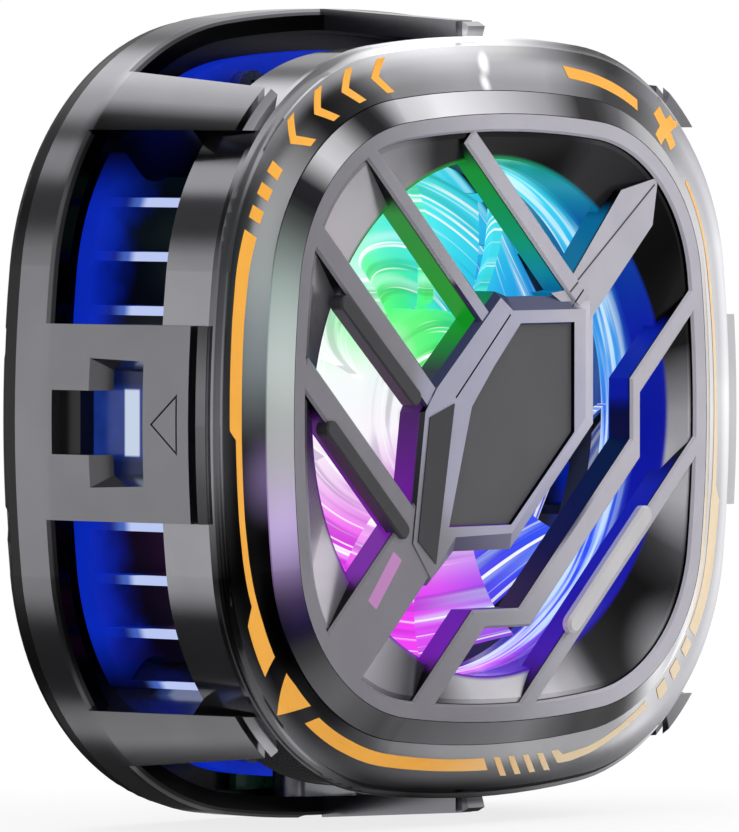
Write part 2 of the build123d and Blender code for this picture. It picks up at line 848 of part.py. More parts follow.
def blade_section(radius, width, angle):
    # Curved strip across the blade, standing square to the radius
    thick = blade_thickness
    rise = (impeller_front - impeller_back - thick) / 2 - blade_end_gap
    bulge = width * blade_camber_share
    half = width / 2
    lower = [(-half, -rise), (bulge, -bulge), (half, rise)]
    upper = [(x, y + thick) for x, y in reversed(lower)]
    ends = [Line(lower[2], upper[0]), Line(upper[2], lower[0])]
    edges = [ThreePointArc(*lower), ends[0], ThreePointArc(*upper), ends[1]]
    plane = Plane(origin=(radius, 0, 0), x_dir=(0, 1, 0), z_dir=(1, 0, 0))
    return Rot(0, 0, angle) * (plane * make_face(edges))


def make_impeller():
    body = rod(impeller_hub_radius, impeller_back, impeller_front)
    body = fillet(body.edges().sort_by(Axis.Z)[-1], hub_lid)
    root = impeller_hub_radius - hub_wall / 2
    middle_radius = (impeller_hub_radius + impeller_radius) / 2
    middle_width = (blade_root_width + blade_tip_width) / 2
    blade = loft([
        blade_section(root, blade_root_width, 0),
        blade_section(middle_radius, middle_width, blade_sweep_angle / 3),
        blade_section(impeller_radius + cut_over_length, blade_tip_width, blade_sweep_angle),
    ])
    blade = Pos(0, 0, (impeller_back + impeller_front - blade_thickness) / 2) * blade
    blade &= tube(root, impeller_radius, impeller_back, impeller_front)
    for index in range(blade_count):
        body += Rot(0, 0, 360 / blade_count * index) * blade
    body -= rod(yoke_radius, 0, impeller_front - hub_lid)
    body -= rod(shaft_radius, 0, impeller_front - hub_lid / 2)
    return body


def make_yoke():
    top = impeller_front - hub_lid
    yoke = rod(yoke_radius, impeller_back + rotor_gap, top)
    yoke -= rod(rotor_magnet_outer, 0, top - yoke_wall)
    return yoke - rod(shaft_radius, 0, impeller_front)


def make_rotor_magnet():
    high = impeller_front - hub_lid - yoke_wall
    return tube(rotor_magnet_inner, rotor_magnet_outer, impeller_back + rotor_gap, high)


def make_shaft():
    low = frame_front - frame_base_thickness / 2 + shaft_running_gap
    return rod(shaft_radius, low, impeller_front - hub_lid / 2)


# Side light guides and stops, seen through the slots
def make_guides():
    inner = guide_face - guide_thickness
    half = slot_half_width + guide_margin
    guide = side_block(1, inner, guide_face, -half, half, window_back, window_front)
    return [guide, Rot(0, 0, 180) * guide]


def make_stops():
    outer = half_width - stop_recess
    inner = guide_face + joint_line
    half = slot_neck_half_width
    start = window_back + slot_start
    stop = side_block(1, inner, outer, -half, half, start, start + stop_length)
    return [stop, Rot(0, 0, 180) * stop]


def make_screw(x, y, seat, shank_end):
    # The head stands on its seat, on the side away from the end of the shank
    away = math.copysign(1, seat - shank_end)
    head_end = seat + away * screw_head_height
    screw = rod(screw_head_radius, *sorted((seat, head_end)), x, y)
    screw += rod(screw_radius, *sorted((seat, shank_end)), x, y)
    arms = Rectangle(screw_recess_length, screw_recess_width)
    arms += Rectangle(screw_recess_width, screw_recess_length)
    deep = screw_recess_depth
    return screw - Pos(x, y) * raised(arms, head_end - deep, head_end + deep)


def make_screws(places, seat, shank_end):
    return [make_screw(x, y, seat, shank_end) for x, y in places]


def make_inlet():
    y_low = -half_width + inlet_setback
    y_high = y_low + inlet_length
    shell = inlet_shape(0, y_low, y_high)
    shell -= inlet_shape(-inlet_wall, y_low - cut_over_length, y_high - inlet_wall)
    half = inlet_tongue_width / 2
    thick = inlet_tongue_thickness / 2
    y_tip = y_high - inlet_length * inlet_tongue_share
    return shell + block(-half, half, y_tip, y_high, inlet_middle - thick, inlet_middle + thick)


def make_control_board():
    # Ends short of the cold plate's flange, with the inlet soldered to its front
    top = inlet_middle - inlet_height / 2
    half = control_board_width / 2
    y_low = -half_width + cover_rim_inset + cover_rim_wall + board_clearance * 2
    y_high = -plate_flange_radius - boss_clearance * 2
    return block(-half, half, y_low, y_high, top - board_thickness, top)


save("rear_cover", make_rear_cover())
save("thermal_pad", rod(pad_radius, 0, pad_thickness))
save("cold_plate", make_cold_plate())
save_group("ring_magnets", make_magnets())
save("magnet_shield", make_magnet_shield())
save("cold_ceramic", make_ceramic(plate_front))
save_group("cooler_pellets", make_pellets())
save("hot_ceramic", make_ceramic(chip_front - ceramic_thickness))
save("insulating_foam", make_foam())
save("heat_sink", make_heat_sink())
save("mid_housing", make_mid_housing())
save("inner_shroud", make_inner_shroud())
save("front_bezel", make_front_bezel())
save("trim_ring", make_trim_ring())
save("air_duct", make_air_duct())
save("grille", make_grille())
save("hub_plate", make_hub_plate())
save_group("grille_inserts", make_inserts())
save("raised_bar", make_raised_pill())
save("light_ring", make_light_ring())
save("led_board", make_led_board())
save_group("leds", make_leds())
save("fan_frame", make_fan_frame())
save("bearing_bush", make_bush())
save("stator_core", make_stator())
save_group("stator_coils", make_coils())
save("motor_board", make_motor_board())
save("impeller", make_impeller())
save("rotor_yoke", make_yoke())
save("rotor_magnet", make_rotor_magnet())
save("rotor_shaft", make_shaft())
save_group("slot_light_guides", make_guides())
save_group("slot_stops", make_stops())
save("charging_inlet", make_inlet())
save("control_board", make_control_board())
save_group("cover_screws", make_screws(corners(corner_boss_place), cover_seat, cover_seat + screw_shank))
save_group("shroud_screws", make_screws(corners(corner_boss_place), web_front, web_front - screw_shank))
save_group("sink_screws", make_screws(sink_posts(), sink_base_front, sink_base_front - screw_shank))
save_group("fan_screws", make_screws(frame_ears(), web_front, ear_back))
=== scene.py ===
import math
import bmesh
import bpy
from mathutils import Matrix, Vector
from mathutils.bvhtree import BVHTree


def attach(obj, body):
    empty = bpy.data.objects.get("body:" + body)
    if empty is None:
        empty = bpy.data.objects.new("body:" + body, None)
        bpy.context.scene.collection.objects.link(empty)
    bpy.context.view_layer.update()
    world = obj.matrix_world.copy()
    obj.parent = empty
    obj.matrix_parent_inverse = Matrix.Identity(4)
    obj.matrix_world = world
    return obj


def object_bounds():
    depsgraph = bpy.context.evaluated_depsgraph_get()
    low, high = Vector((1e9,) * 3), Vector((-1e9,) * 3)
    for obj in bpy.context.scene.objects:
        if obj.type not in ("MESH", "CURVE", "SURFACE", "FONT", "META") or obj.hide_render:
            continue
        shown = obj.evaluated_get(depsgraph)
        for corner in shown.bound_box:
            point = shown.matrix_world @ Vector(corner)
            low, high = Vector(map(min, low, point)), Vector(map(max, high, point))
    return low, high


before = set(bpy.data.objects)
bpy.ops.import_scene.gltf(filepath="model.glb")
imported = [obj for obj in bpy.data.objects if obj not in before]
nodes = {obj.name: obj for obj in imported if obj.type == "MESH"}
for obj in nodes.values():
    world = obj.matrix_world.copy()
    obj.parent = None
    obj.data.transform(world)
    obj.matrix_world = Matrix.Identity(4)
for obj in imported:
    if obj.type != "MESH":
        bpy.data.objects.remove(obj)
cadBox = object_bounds()
mm = 0.001
black = (0, 0, 0, 1)
white = (1, 1, 1, 1)


class Wire:
    # One socket of a node tree. Maths on wires adds Math nodes, and put() adds any other node
    def __init__(self, tree, socket=None):
        self.tree = tree
        self.socket = socket

    def put(self, kind, settings=None, sockets=None, out=0):
        made = self.tree.nodes.new(kind)
        for name, value in (settings or {}).items():
            if name == "stops":
                setStops(made.color_ramp, value)
            else:
                setattr(made, name, value)
        for name, value in (sockets or {}).items():
            if isinstance(value, Wire):
                self.tree.links.new(value.socket, made.inputs[name])
            else:
                made.inputs[name].default_value = value
        return Wire(self.tree, made.outputs[out])

    def maths(self, operation, first, second=0.0):
        return self.put("ShaderNodeMath", {"operation": operation}, {0: first, 1: second})

    def vector(self, operation, first, second=(0, 0, 0), out=0):
        return self.put("ShaderNodeVectorMath", {"operation": operation}, {0: first, 1: second}, out)

    def output(self, name):
        return Wire(self.tree, self.socket.node.outputs[name])

    def size(self):
        return self.maths("ABSOLUTE", self)

    def __add__(self, other):
        return self.maths("ADD", self, other)

    def __radd__(self, other):
        return self.maths("ADD", other, self)

    def __sub__(self, other):
        return self.maths("SUBTRACT", self, other)

    def __rsub__(self, other):
        return self.maths("SUBTRACT", other, self)

    def __mul__(self, other):
        return self.maths("MULTIPLY", self, other)

    def __rmul__(self, other):
        return self.maths("MULTIPLY", other, self)

    def __truediv__(self, other):
        return self.maths("DIVIDE", self, other)

    def __pow__(self, other):
        return self.maths("POWER", self, other)


def setStops(ramp, stops):
    # stops: (place from 0 to 1, colour) in order
    while len(ramp.elements) > 1:
        ramp.elements.remove(ramp.elements[-1])
    ramp.elements[0].position = stops[0][0]
    ramp.elements[0].color = stops[0][1]
    for place, colour in stops[1:]:
        ramp.elements.new(place).color = colour


def paint(code):
    # A colour written as on a screen, turned into the linear one that shaders take
    parts = [int(code[i:i + 2], 16) / 255 for i in (0, 2, 4)]
    return tuple(p / 12.92 if p < 0.04045 else ((p + 0.055) / 1.055) ** 2.4 for p in parts) + (1.0,)


def shade(wire, low, high):
    # 0 at low, 1 at high, smooth between
    sockets = {0: wire, 1: low, 2: high, 3: 0.0, 4: 1.0}
    return wire.put("ShaderNodeMapRange", {"interpolation_type": "SMOOTHSTEP"}, sockets)


def between(wire, low, high, soft):
    # 1 between low and high, with soft edges
    return shade(wire, low - soft, low + soft) * shade(wire, high + soft, high - soft)


def clouds(wire, spread=0.2):
    # A noise with its middle spread out to fill 0 to 1
    return shade(wire, 0.5 - spread, 0.5 + spread)


def blend(factor, first, second, way="MIX"):
    settings = {"data_type": "RGBA", "blend_type": way}
    return factor.put("ShaderNodeMix", settings, {0: factor, 6: first, 7: second}, out=2)


def noise(place, grain, detail=2.0, rough=0.5, warp=0.0):
    # grain is the size of one lump in millimetres
    sockets = {"Scale": 1 / (grain * mm), "Detail": detail, "Roughness": rough, "Distortion": warp}
    return place.put("ShaderNodeTexNoise", {}, {"Vector": place, **sockets})


class Finish:
    # A material under way: its place on the piece, what is fixed and what varies over the surface
    def __init__(self, name):
        self.material = bpy.data.materials.new(name)
        self.material.use_nodes = True
        self.tree = self.material.node_tree
        self.tree.nodes.clear()
        self.place = Wire(self.tree).put("ShaderNodeTexCoord", out="Object")
        apart = self.place.put("ShaderNodeSeparateXYZ", {}, {0: self.place})
        self.x = apart / mm
        self.depth = apart.output("Y") / -mm
        self.z = apart.output("Z") / mm

    def radius(self):
        squares = self.x * self.x + self.z * self.z
        return squares.maths("SQRT", squares)

    def facing(self):
        # How far the surface faces right, forward and up, each from -1 to 1
        normal = self.place.put("ShaderNodeNewGeometry", out="Normal")
        apart = self.place.put("ShaderNodeSeparateXYZ", {}, {0: normal})
        return apart, apart.output("Y") * -1.0, apart.output("Z")

    def forward(self, low, high):
        # 0 where the surface faces forward by low or less, 1 by high or more
        return shade(self.facing()[1], low, high)

    def outward(self):
        # How far the surface faces away from the fan's axis, times the distance from it
        right, up = self.facing()[::2]
        return right * self.x + up * self.z

    def half(self):
        # The distance from the axis on the rounded square that the shells follow
        return (self.x.size() ** 3.0 + self.z.size() ** 3.0) ** (1 / 3)

    def spot(self, x, z, reach, tall=1.0):
        # A soft round patch on the front, or an oval one that is tall times as high as wide
        across = self.x - x
        along = (self.z - z) / tall
        squares = across * across + along * along
        return shade(squares.maths("SQRT", squares), reach, 0.0)

    def bump(self, height, depth):
        sockets = {"Strength": 1.0, "Distance": depth * mm, "Height": height}
        return self.place.put("ShaderNodeBump", {}, sockets)

    def close(self, **sockets):
        named = {name.replace("_", " "): value for name, value in sockets.items()}
        if "Emission Color" in named:
            named["Emission Strength"] = 1.0
        shader = self.place.put("ShaderNodeBsdfPrincipled", {}, named)
        end = self.tree.nodes.new("ShaderNodeOutputMaterial")
        self.tree.links.new(shader.socket, end.inputs["Surface"])
        return self.material


def plainLook(colour, drift, metallic, rough, spread, grain, bump):
    # How far the colour drifts, the roughness and its spread, and the grain and the bump in millimetres
    return dict(
        colour=colour, drift=drift, metallic=metallic, rough=rough, spread=spread, grain=grain, bump=bump)


plainLooks = {
    "blackPlastic": plainLook("0B0B0C", 0.2, 0.0, 0.3, 0.08, 0.3, 0.003),
    "glossGunmetal": plainLook("A4A4A9", 0.04, 0.98, 0.13, 0.03, 0.4, 0.0004),
    "lightGrille": plainLook("CFCDCF", 0.04, 0.35, 0.38, 0.06, 0.12, 0.003),
    "darkInsert": plainLook("504F52", 0.06, 0.0, 0.55, 0.08, 0.15, 0.004),
    "blackInsert": plainLook("343336", 0.08, 0.0, 0.45, 0.08, 0.15, 0.004),
    "aluminium": plainLook("8C8F96", 0.10, 0.9, 0.32, 0.10, 0.25, 0.006),
    "ceramic": plainLook("E8E6DF", 0.06, 0.0, 0.55, 0.10, 0.15, 0.008),
    "pellet": plainLook("6E6F74", 0.20, 0.6, 0.5, 0.15, 0.2, 0.01),
    "foam": plainLook("2B2B2D", 0.3, 0.0, 0.95, 0.05, 0.3, 0.06),
    "silicone": plainLook("5F6166", 0.12, 0.0, 0.62, 0.12, 0.35, 0.02),
    "platedMagnet": plainLook("B8B9BE", 0.06, 1.0, 0.22, 0.08, 0.2, 0.003),
    "steel": plainLook("A6A7AA", 0.10, 1.0, 0.3, 0.1, 0.25, 0.004),
    "ferrite": plainLook("2A2A2C", 0.2, 0.1, 0.6, 0.1, 0.2, 0.015),
    "bronze": plainLook("9A7A4E", 0.12, 1.0, 0.4, 0.1, 0.15, 0.006),
    "goldPlate": plainLook("D8B45A", 0.06, 1.0, 0.25, 0.05, 0.2, 0.002),
}
# The size of the soft clouds in millimetres, and the detail and roughness of the noise
texture = dict(cloud=6.0, detail=3.0, rough=0.6)


def softAndFine(finish, look):
    # Soft clouds, and the fine grain of the surface
    soft = noise(finish.place, texture["cloud"], detail=texture["detail"])
    return soft, noise(finish.place, look["grain"], detail=texture["detail"], rough=texture["rough"])


def tones(look, drift):
    # The colour a little darker and a little lighter, in soft clouds
    base = paint(look["colour"])[:3]
    dark = tuple(part * (1 - look["drift"]) for part in base) + (1.0,)
    light = tuple(min(1.0, part * (1 + look["drift"])) for part in base) + (1.0,)
    return blend(clouds(drift), dark, light)


def plainFinish(name, look):
    finish = Finish(name)
    drift, fine = softAndFine(finish, look)
    return finish.close(
        Base_Color=tones(look, drift), Metallic=look["metallic"],
        Roughness=look["rough"] + (fine + drift - 1.0) * look["spread"],
        Normal=finish.bump(fine, look["bump"]))


def spillLight(finish, spills):
    # Adds up soft patches of coloured light
    light = black
    for x, z, reach, tall, code, strength in spills:
        light = blend(finish.spot(x, z, reach, tall) * strength, light, paint(code), "ADD")
    return light


def wheel(finish, colours):
    # Colour by direction round the fan's axis
    turn = finish.z.maths("ARCTAN2", finish.z, finish.x) / math.tau
    turn = turn.maths("FRACT", turn + 1.0)
    stops = [(degrees / 360, paint(code)) for degrees, code in colours]
    return turn.put("ShaderNodeValToRGB", {"stops": stops}, {0: turn})


# Painted light on the shell: light that spills from the opening, and painted white glints and highlights.
# Each: x, z, reach, how tall, colour, strength
bezelSpills = [
    (-7.0, 31.4, 13.0, 0.22, "F0F0F8", 0.35), (-27.2, 9.0, 4.5, 2.6, "8AA8A4", 0.16),
    (-27.0, -4.4, 3.2, 1.5, "A890CC", 0.34), (-0.1, 29.7, 0.9, 1.5, "FFFFFF", 0.9),
    (-0.5, 28.0, 0.8, 1.5, "FFFFFF", 0.8), (24.0, 27.0, 9.0, 1.0, "E8E4EC", 0.10),
    (29.0, -8.0, 7.0, 2.4, "E8D8D0", 0.10),
]
# Painted light on the trim, in the same way
trimSpills = [
    (-26.0, 5.0, 7.0, 2.2, "C4D4D0", 0.30), (-26.0, -8.0, 6.0, 1.6, "C8A8E0", 0.28),
    (19.5, -19.5, 6.0, 1.0, "F0F0F4", 0.35), (-26.0, 8.0, 4.0, 2.4, "90B0A8", 0.20),
    (-26.0, -9.0, 4.0, 1.6, "B090E0", 0.35), (-24.0, -15.0, 3.0, 1.5, "8060D0", 0.08),
]

# Reflections painted into the chrome of the bezel and its trim, by direction: lightest at the right, black at
# the lower left
crownReflections = [
    (0, "A6A6A9"), (22, "A2A2A6"), (40, "9C9C9F"), (47, "68686B"), (54, "38383A"), (62, "38383A"),
    (68, "707073"), (76, "A0A0A4"), (96, "A8A8AC"), (114, "9C9C9F"), (121, "4C4C4E"), (129, "28282A"),
    (135, "8C8C8E"), (141, "AEAEB1"), (156, "A4A8A8"), (165, "868A8E"), (172, "767A7E"), (184, "28282A"),
    (200, "0C0C0D"), (218, "202022"), (232, "646468"), (243, "88888C"), (256, "A6A6AA"), (278, "C0C0C2"),
    (296, "C4C4C8"), (312, "A0A0A3"), (330, "98989C"), (345, "8C8C90"), (360, "A6A6A9"),
]
shoulderReflections = [
    (0, "DCDCDE"), (22, "D8D8DC"), (40, "C0C0C4"), (52, "909094"), (60, "48484B"), (68, "585858"),
    (76, "B8B8BC"), (84, "FFFFFF"), (112, "F8F8FA"), (124, "A8A8AB"), (134, "A8A8AC"), (141, "B8B8BC"),
    (147, "6C6C70"), (156, "646468"), (165, "7C7C80"), (180, "A4A4A8"), (188, "9C9CA0"), (196, "606063"),
    (203, "1C1C1E"), (210, "58585B"), (220, "A0A0A4"), (234, "A8A8AC"), (244, "4A4A4C"), (256, "1C1C1E"),
    (268, "38383A"), (280, "646467"), (294, "9C9CA0"), (312, "A8A8AB"), (340, "C8C8CC"), (360, "DCDCDE"),
]
edgeReflections = [
    (0, "E0E0E2"), (60, "C0C0C4"), (118, "A8A8AC"), (140, "98989C"), (147, "48484B"), (158, "464649"),
    (167, "5C5C60"), (175, "8A8A8E"), (190, "8E8E92"), (197, "88888C"), (203, "303033"), (211, "A0A0A4"),
    (222, "C8C8CC"), (240, "A0A0A4"), (262, "606063"), (290, "A0A0A4"), (360, "E0E0E2"),
]
trimReflections = [
    (0, "B4B4B8"), (30, "C0C0C4"), (46, "C0C0C4"), (54, "A0A0A4"), (59, "505054"), (64, "181819"),
    (69, "202024"), (77, "9C9CA0"), (90, "CCCCD0"), (106, "F0F0F4"), (115, "D0D0D4"), (120, "404044"),
    (124, "48484C"), (129, "E8E8EC"), (134, "F0F0F4"), (139, "303034"), (143, "2C2C30"), (149, "A0AAA6"),
    (157, "D8E4E0"), (168, "FFFFFF"), (188, "FFFFFF"), (198, "E0DCE8"), (207, "746C7C"), (216, "909094"),
    (230, "A8A8AC"), (244, "606063"), (276, "88888C"), (290, "48484B"), (302, "585858"), (310, "E0E0E2"),
    (326, "FFFFFF"), (360, "B4B4B8"),
]
# Reflections painted into the housing's gunmetal, by direction round the fan's axis
housingReflections = [
    (0, "939397"), (118, "9A9A9E"), (126, "A8A8AC"), (131, "AEAEB2"), (135, "9C9CA0"), (138, "404042"),
    (141, "2A2A2C"), (145, "58585A"), (150, "909094"), (215, "909094"), (224, "9A9A9E"), (228.5, "BCBCC0"),
    (232.5, "404042"), (237, "505052"), (245, "939397"), (360, "939397"),
]

# The bezel's painted reflections, and where, in half widths, one wheel of them gives way to the next
bezel = dict(
    metallic=0.98, rough=0.13, spread=0.03, grain=0.4, bump=0.0004, tones=crownReflections, spills=bezelSpills,
    bands=((29.6, 31.2, shoulderReflections), (32.2, 32.7, edgeReflections)))
trim = dict(
    metallic=1.0, rough=0.12, spread=0.03, grain=0.4, bump=0.0004, tones=trimReflections, spills=trimSpills,
    bands=())
# The soft patches in the chrome: their size in millimetres, how warped, how sharp, how strong and their tint
smoke = dict(size=9.0, warp=0.5, reach=0.15, depth=0.14, colour="B0B0B4")


def paintedReflectionFinish(name, look):
    # Chrome with reflections painted into its colour, changing round the object and across the band, under
    # soft darker clouds, with painted light spilled onto it
    finish = Finish(name)
    drift = noise(finish.place, smoke["size"], detail=2.0, warp=smoke["warp"])
    fine = noise(finish.place, look["grain"], detail=texture["detail"])
    tone = wheel(finish, look["tones"])
    for start, end, colours in look["bands"]:
        tone = blend(shade(finish.half(), start, end), tone, wheel(finish, colours))
    smoky = clouds(drift, smoke["reach"]) * smoke["depth"]
    return finish.close(
        Base_Color=blend(smoky, tone, paint(smoke["colour"]), "MULTIPLY"), Metallic=look["metallic"],
        Roughness=look["rough"] + (drift - 0.5) * look["spread"],
        Emission_Color=spillLight(finish, look["spills"]), Normal=finish.bump(fine, look["bump"]))


# The sill colour is painted shade on the sill behind each window
housing = dict(
    colour="939397", metallic=0.97, rough=0.18, spread=0.04, grain=0.4, bump=0.0006, uneven=0.06,
    wheelStart=5.5, wheelEnd=7.5, sillShadeColour="161618", sillBack=6.75, sillFront=7.3, sillSoft=0.05,
    sillFacing=(0.5, 0.8))


def housingFinish():
    # Brushed gunmetal, with reflections painted dark across the corner blocks and painted shade on the sill
    # behind each window
    finish = Finish("housingGunmetal")
    drift, fine = softAndFine(finish, housing)
    reflectionShare = shade(finish.depth, housing["wheelStart"], housing["wheelEnd"])
    tone = blend(reflectionShare, paint(housing["colour"]), wheel(finish, housingReflections))
    tone = blend(clouds(drift) * housing["uneven"], tone, black)
    sillShade = between(finish.depth, housing["sillBack"], housing["sillFront"], housing["sillSoft"])
    sillShade = sillShade * finish.forward(*housing["sillFacing"])
    return finish.close(
        Base_Color=blend(sillShade, tone, paint(housing["sillShadeColour"])), Metallic=housing["metallic"],
        Roughness=housing["rough"] + (fine + drift - 1.0) * housing["spread"],
        Normal=finish.bump(fine, housing["bump"]))


# Colours of the lit disc by direction, in degrees anticlockwise from the right seen from the front
discOuter = [
    (0, "2F6EE8"), (13, "3C98E8"), (28, "2090E0"), (42, "28B8E8"), (56, "34D0E8"), (72, "48E4EC"),
    (86, "4CE8DC"), (98, "60F2D0"), (108, "60F4A8"), (116, "78F6B0"), (124, "A8FADC"), (138, "DCF8EC"),
    (152, "EFF8F4"), (176, "F8F8FA"), (192, "F6E0F8"), (205, "F4A0F4"), (218, "F850F6"), (232, "F428F4"),
    (250, "F03CF4"), (268, "F040F4"), (282, "D850F2"), (294, "9C50EE"), (306, "5848F0"), (320, "2C4CF4"),
    (340, "2858F4"), (360, "2F6EE8"),
]
discInner = [
    (0, "2C58F4"), (26, "2078E0"), (40, "28B0DC"), (54, "34D8E0"), (68, "3CE4B8"), (82, "44E88C"),
    (98, "54F47C"), (116, "68F880"), (132, "B0F8C0"), (156, "F2F8F6"), (190, "FAF4FC"), (208, "F0D4F2"),
    (230, "F0A8F4"), (252, "F0B0F6"), (278, "F0C8F6"), (296, "DCC0F4"), (314, "7C84E8"), (334, "4468F8"),
    (360, "2C58F4"),
]
wallColours = [
    (0, "060E90"), (20, "06189C"), (45, "053C90"), (62, "0C8494"), (78, "0A8A62"), (95, "0A8428"),
    (118, "0E8A1C"), (136, "186A2C"), (152, "2A2434"), (172, "3E1C54"), (200, "5A1480"), (228, "7A14A8"),
    (258, "5A00A0"), (282, "4008A0"), (306, "1C0EA0"), (335, "0A0EA0"), (360, "060E90"),
]


def streaks(finish, along, lines, reach):
    # Noise drawn out round the axis: lines per millimetre, and reach is how fast it changes round the circle
    flat = finish.place.put("ShaderNodeCombineXYZ", {}, {0: finish.x, 2: finish.z})
    around = finish.place.vector("NORMALIZE", flat)
    apart = finish.place.put("ShaderNodeSeparateXYZ", {}, {0: around})
    sockets = {0: apart * reach, 1: along * lines, 2: apart.output("Z") * reach}
    spot = finish.place.put("ShaderNodeCombineXYZ", {}, sockets)
    sockets = {"Vector": spot, "Scale": 1.0, "Detail": 2.0, "Roughness": 0.5}
    return finish.place.put("ShaderNodeTexNoise", {}, sockets)


# Streaks as (lines, reach); how strong each kind is, and between which values of the noise it shows
disc = dict(
    body="101012", rough=0.5, spread=0.2, grain=0.3, bump=0.004, innerRadius=10.0, outerRadius=15.5,
    thin=(2.2, 0.55), thinShows=(0.57, 0.68), thinGlow=0.9, wide=(0.7, 0.7), wideShows=(0.50, 0.36),
    wideDark=0.35, band=(0.42, 0.6), bandShows=(0.54, 0.70), bandGlow=0.45, bandColour="DCFCFF",
    rimStart=19.6, rimEnd=21.2, rimDark=0.35, tipDark=19.0, tipLit=16.0, pocketRadius=25.2, pocketSoft=0.5,
    pocketFacing=(0.3, 0.6))


def discLight(finish):
    # Painted light glowing on the spinning blades: colours by direction, with fine and broad circular streaks
    radius = finish.radius()
    thin, wide, band = (streaks(finish, radius, *disc[kind]) for kind in ("thin", "wide", "band"))
    outer = shade(radius, disc["innerRadius"], disc["outerRadius"])
    colour = blend(outer, wheel(finish, discInner), wheel(finish, discOuter))
    colour = blend(shade(wide, *disc["wideShows"]) * disc["wideDark"], colour, wheel(finish, wallColours))
    colour = blend(shade(band, *disc["bandShows"]) * disc["bandGlow"], colour, paint(disc["bandColour"]))
    return blend(shade(thin, *disc["thinShows"]) * disc["thinGlow"], colour, white)


def discPocket(finish):
    # Where what lies behind the blades takes the disc's light
    near = shade(finish.radius(), disc["pocketRadius"], disc["pocketRadius"] - disc["pocketSoft"])
    return near * finish.forward(*disc["pocketFacing"])


def litDisc():
    # The blades glowing with that painted light, dark on their tips
    finish = Finish("litFanPlastic")
    rim = shade(finish.radius(), disc["rimStart"], disc["rimEnd"])
    colour = blend(rim * disc["rimDark"], discLight(finish), wheel(finish, wallColours))
    colour = blend(shade(finish.outward(), disc["tipDark"], disc["tipLit"]), black, colour)
    fine = noise(finish.place, disc["grain"])
    return finish.close(
        Base_Color=paint(disc["body"]), Roughness=disc["rough"] + (fine - 0.5) * disc["spread"],
        Emission_Color=colour, Normal=finish.bump(fine, disc["bump"]))


throat = dict(
    body="101018", rough=0.16, spread=0.1, streaks=(1.6, 1.8), streakFront=20.2, navyBack=22.2,
    glint="D8F4FF", livelyShows=(0.40, 0.62), livelyGlow=0.8, deepShows=(0.35, 0.65), deepGlow=0.3,
    outerDark=8.0, outerLit=2.0)


def litWall():
    # Clear wall of the throat, lit by the lamps round it: streaked beside the fan, deep in colour before it
    finish = Finish("litGuide")
    lines = streaks(finish, finish.depth, *throat["streaks"])
    beside = shade(finish.depth, throat["navyBack"], throat["streakFront"])
    bright, dark = wheel(finish, discOuter), wheel(finish, wallColours)
    glints = shade(lines, *throat["livelyShows"]) * throat["livelyGlow"]
    lively = blend(glints, bright, paint(throat["glint"]))
    deep = blend(shade(lines, *throat["deepShows"]) * throat["deepGlow"], dark, bright)
    inside = shade(finish.outward(), throat["outerDark"], throat["outerLit"])
    return finish.close(
        Base_Color=paint(throat["body"]), Roughness=throat["rough"] + (lines - 0.5) * throat["spread"],
        Emission_Color=blend(inside, black, blend(beside, deep, lively)))


# Places on the front are (x, z) in millimetres. A pair named Shows is how far a face looks forward or up,
# first where its tint starts and then where it is full
# The left and right tones paint shade across the bars, the wall and bevel tones are painted shade, and the
# pink is a painted reflection
grille = dict(
    shadedLeftTone="8A888E", litRightTone="C4C1CA", toneLeft=-15.0, toneRight=10.0, toneLean=0.3, uneven=0.08,
    specular=0.25, hubTone="B4B4CC", hubStart=12.5, hubFull=9.0, hubDepth=0.7, wallShade="060608",
    wallShows=(0.62, 0.30), bevelStart=13.5, bevelFull=12.5, bevelLow=0.5, bevelHigh=0.95, bevelSoft=0.05,
    bevelShows=(0.2, 0.5), bevelUpperShade="343A5C", bevelLowerShade="3C3260", fadeStart=20.6, fadeEnd=23.0,
    rimDark=26.55, rimLit=26.3, darkLow=14.6, darkHigh=20.6, darkSoft=0.3, darkTop=2.0, darkFull=0.0,
    darkDepth=0.9, navy="06308C", navyDepth=0.85, navyRadius=(15.0, 9.0), navyX=(-3.0, 2.0),
    navyZ=(4.0, 8.0), pinkFrom=(-13.0, -11.2), pinkTo=(-16.1, -15.2), pinkHalf=0.62, pinkShows=(0.9, 0.97),
    pinkGlow=0.5, pinkReflection="C844C0", ridgeFrom=(8.2, 10.4), ridgeTo=(19.1, 19.4), ridgeHalf=0.08,
    ridgeShows=(0.8, 0.9), ridgeTone="26262C")


def stripe(finish, start, end, half, soft=0.06):
    # 1 within half of the straight line between two places
    length = math.dist(start, end)
    along = ((end[0] - start[0]) / length, (end[1] - start[1]) / length)
    run = (finish.x - start[0]) * along[0] + (finish.z - start[1]) * along[1]
    aside = (finish.x - start[0]) * along[1] - (finish.z - start[1]) * along[0]
    return between(run, 0.0, length, soft) * shade(aside.size(), half + soft, half - soft)


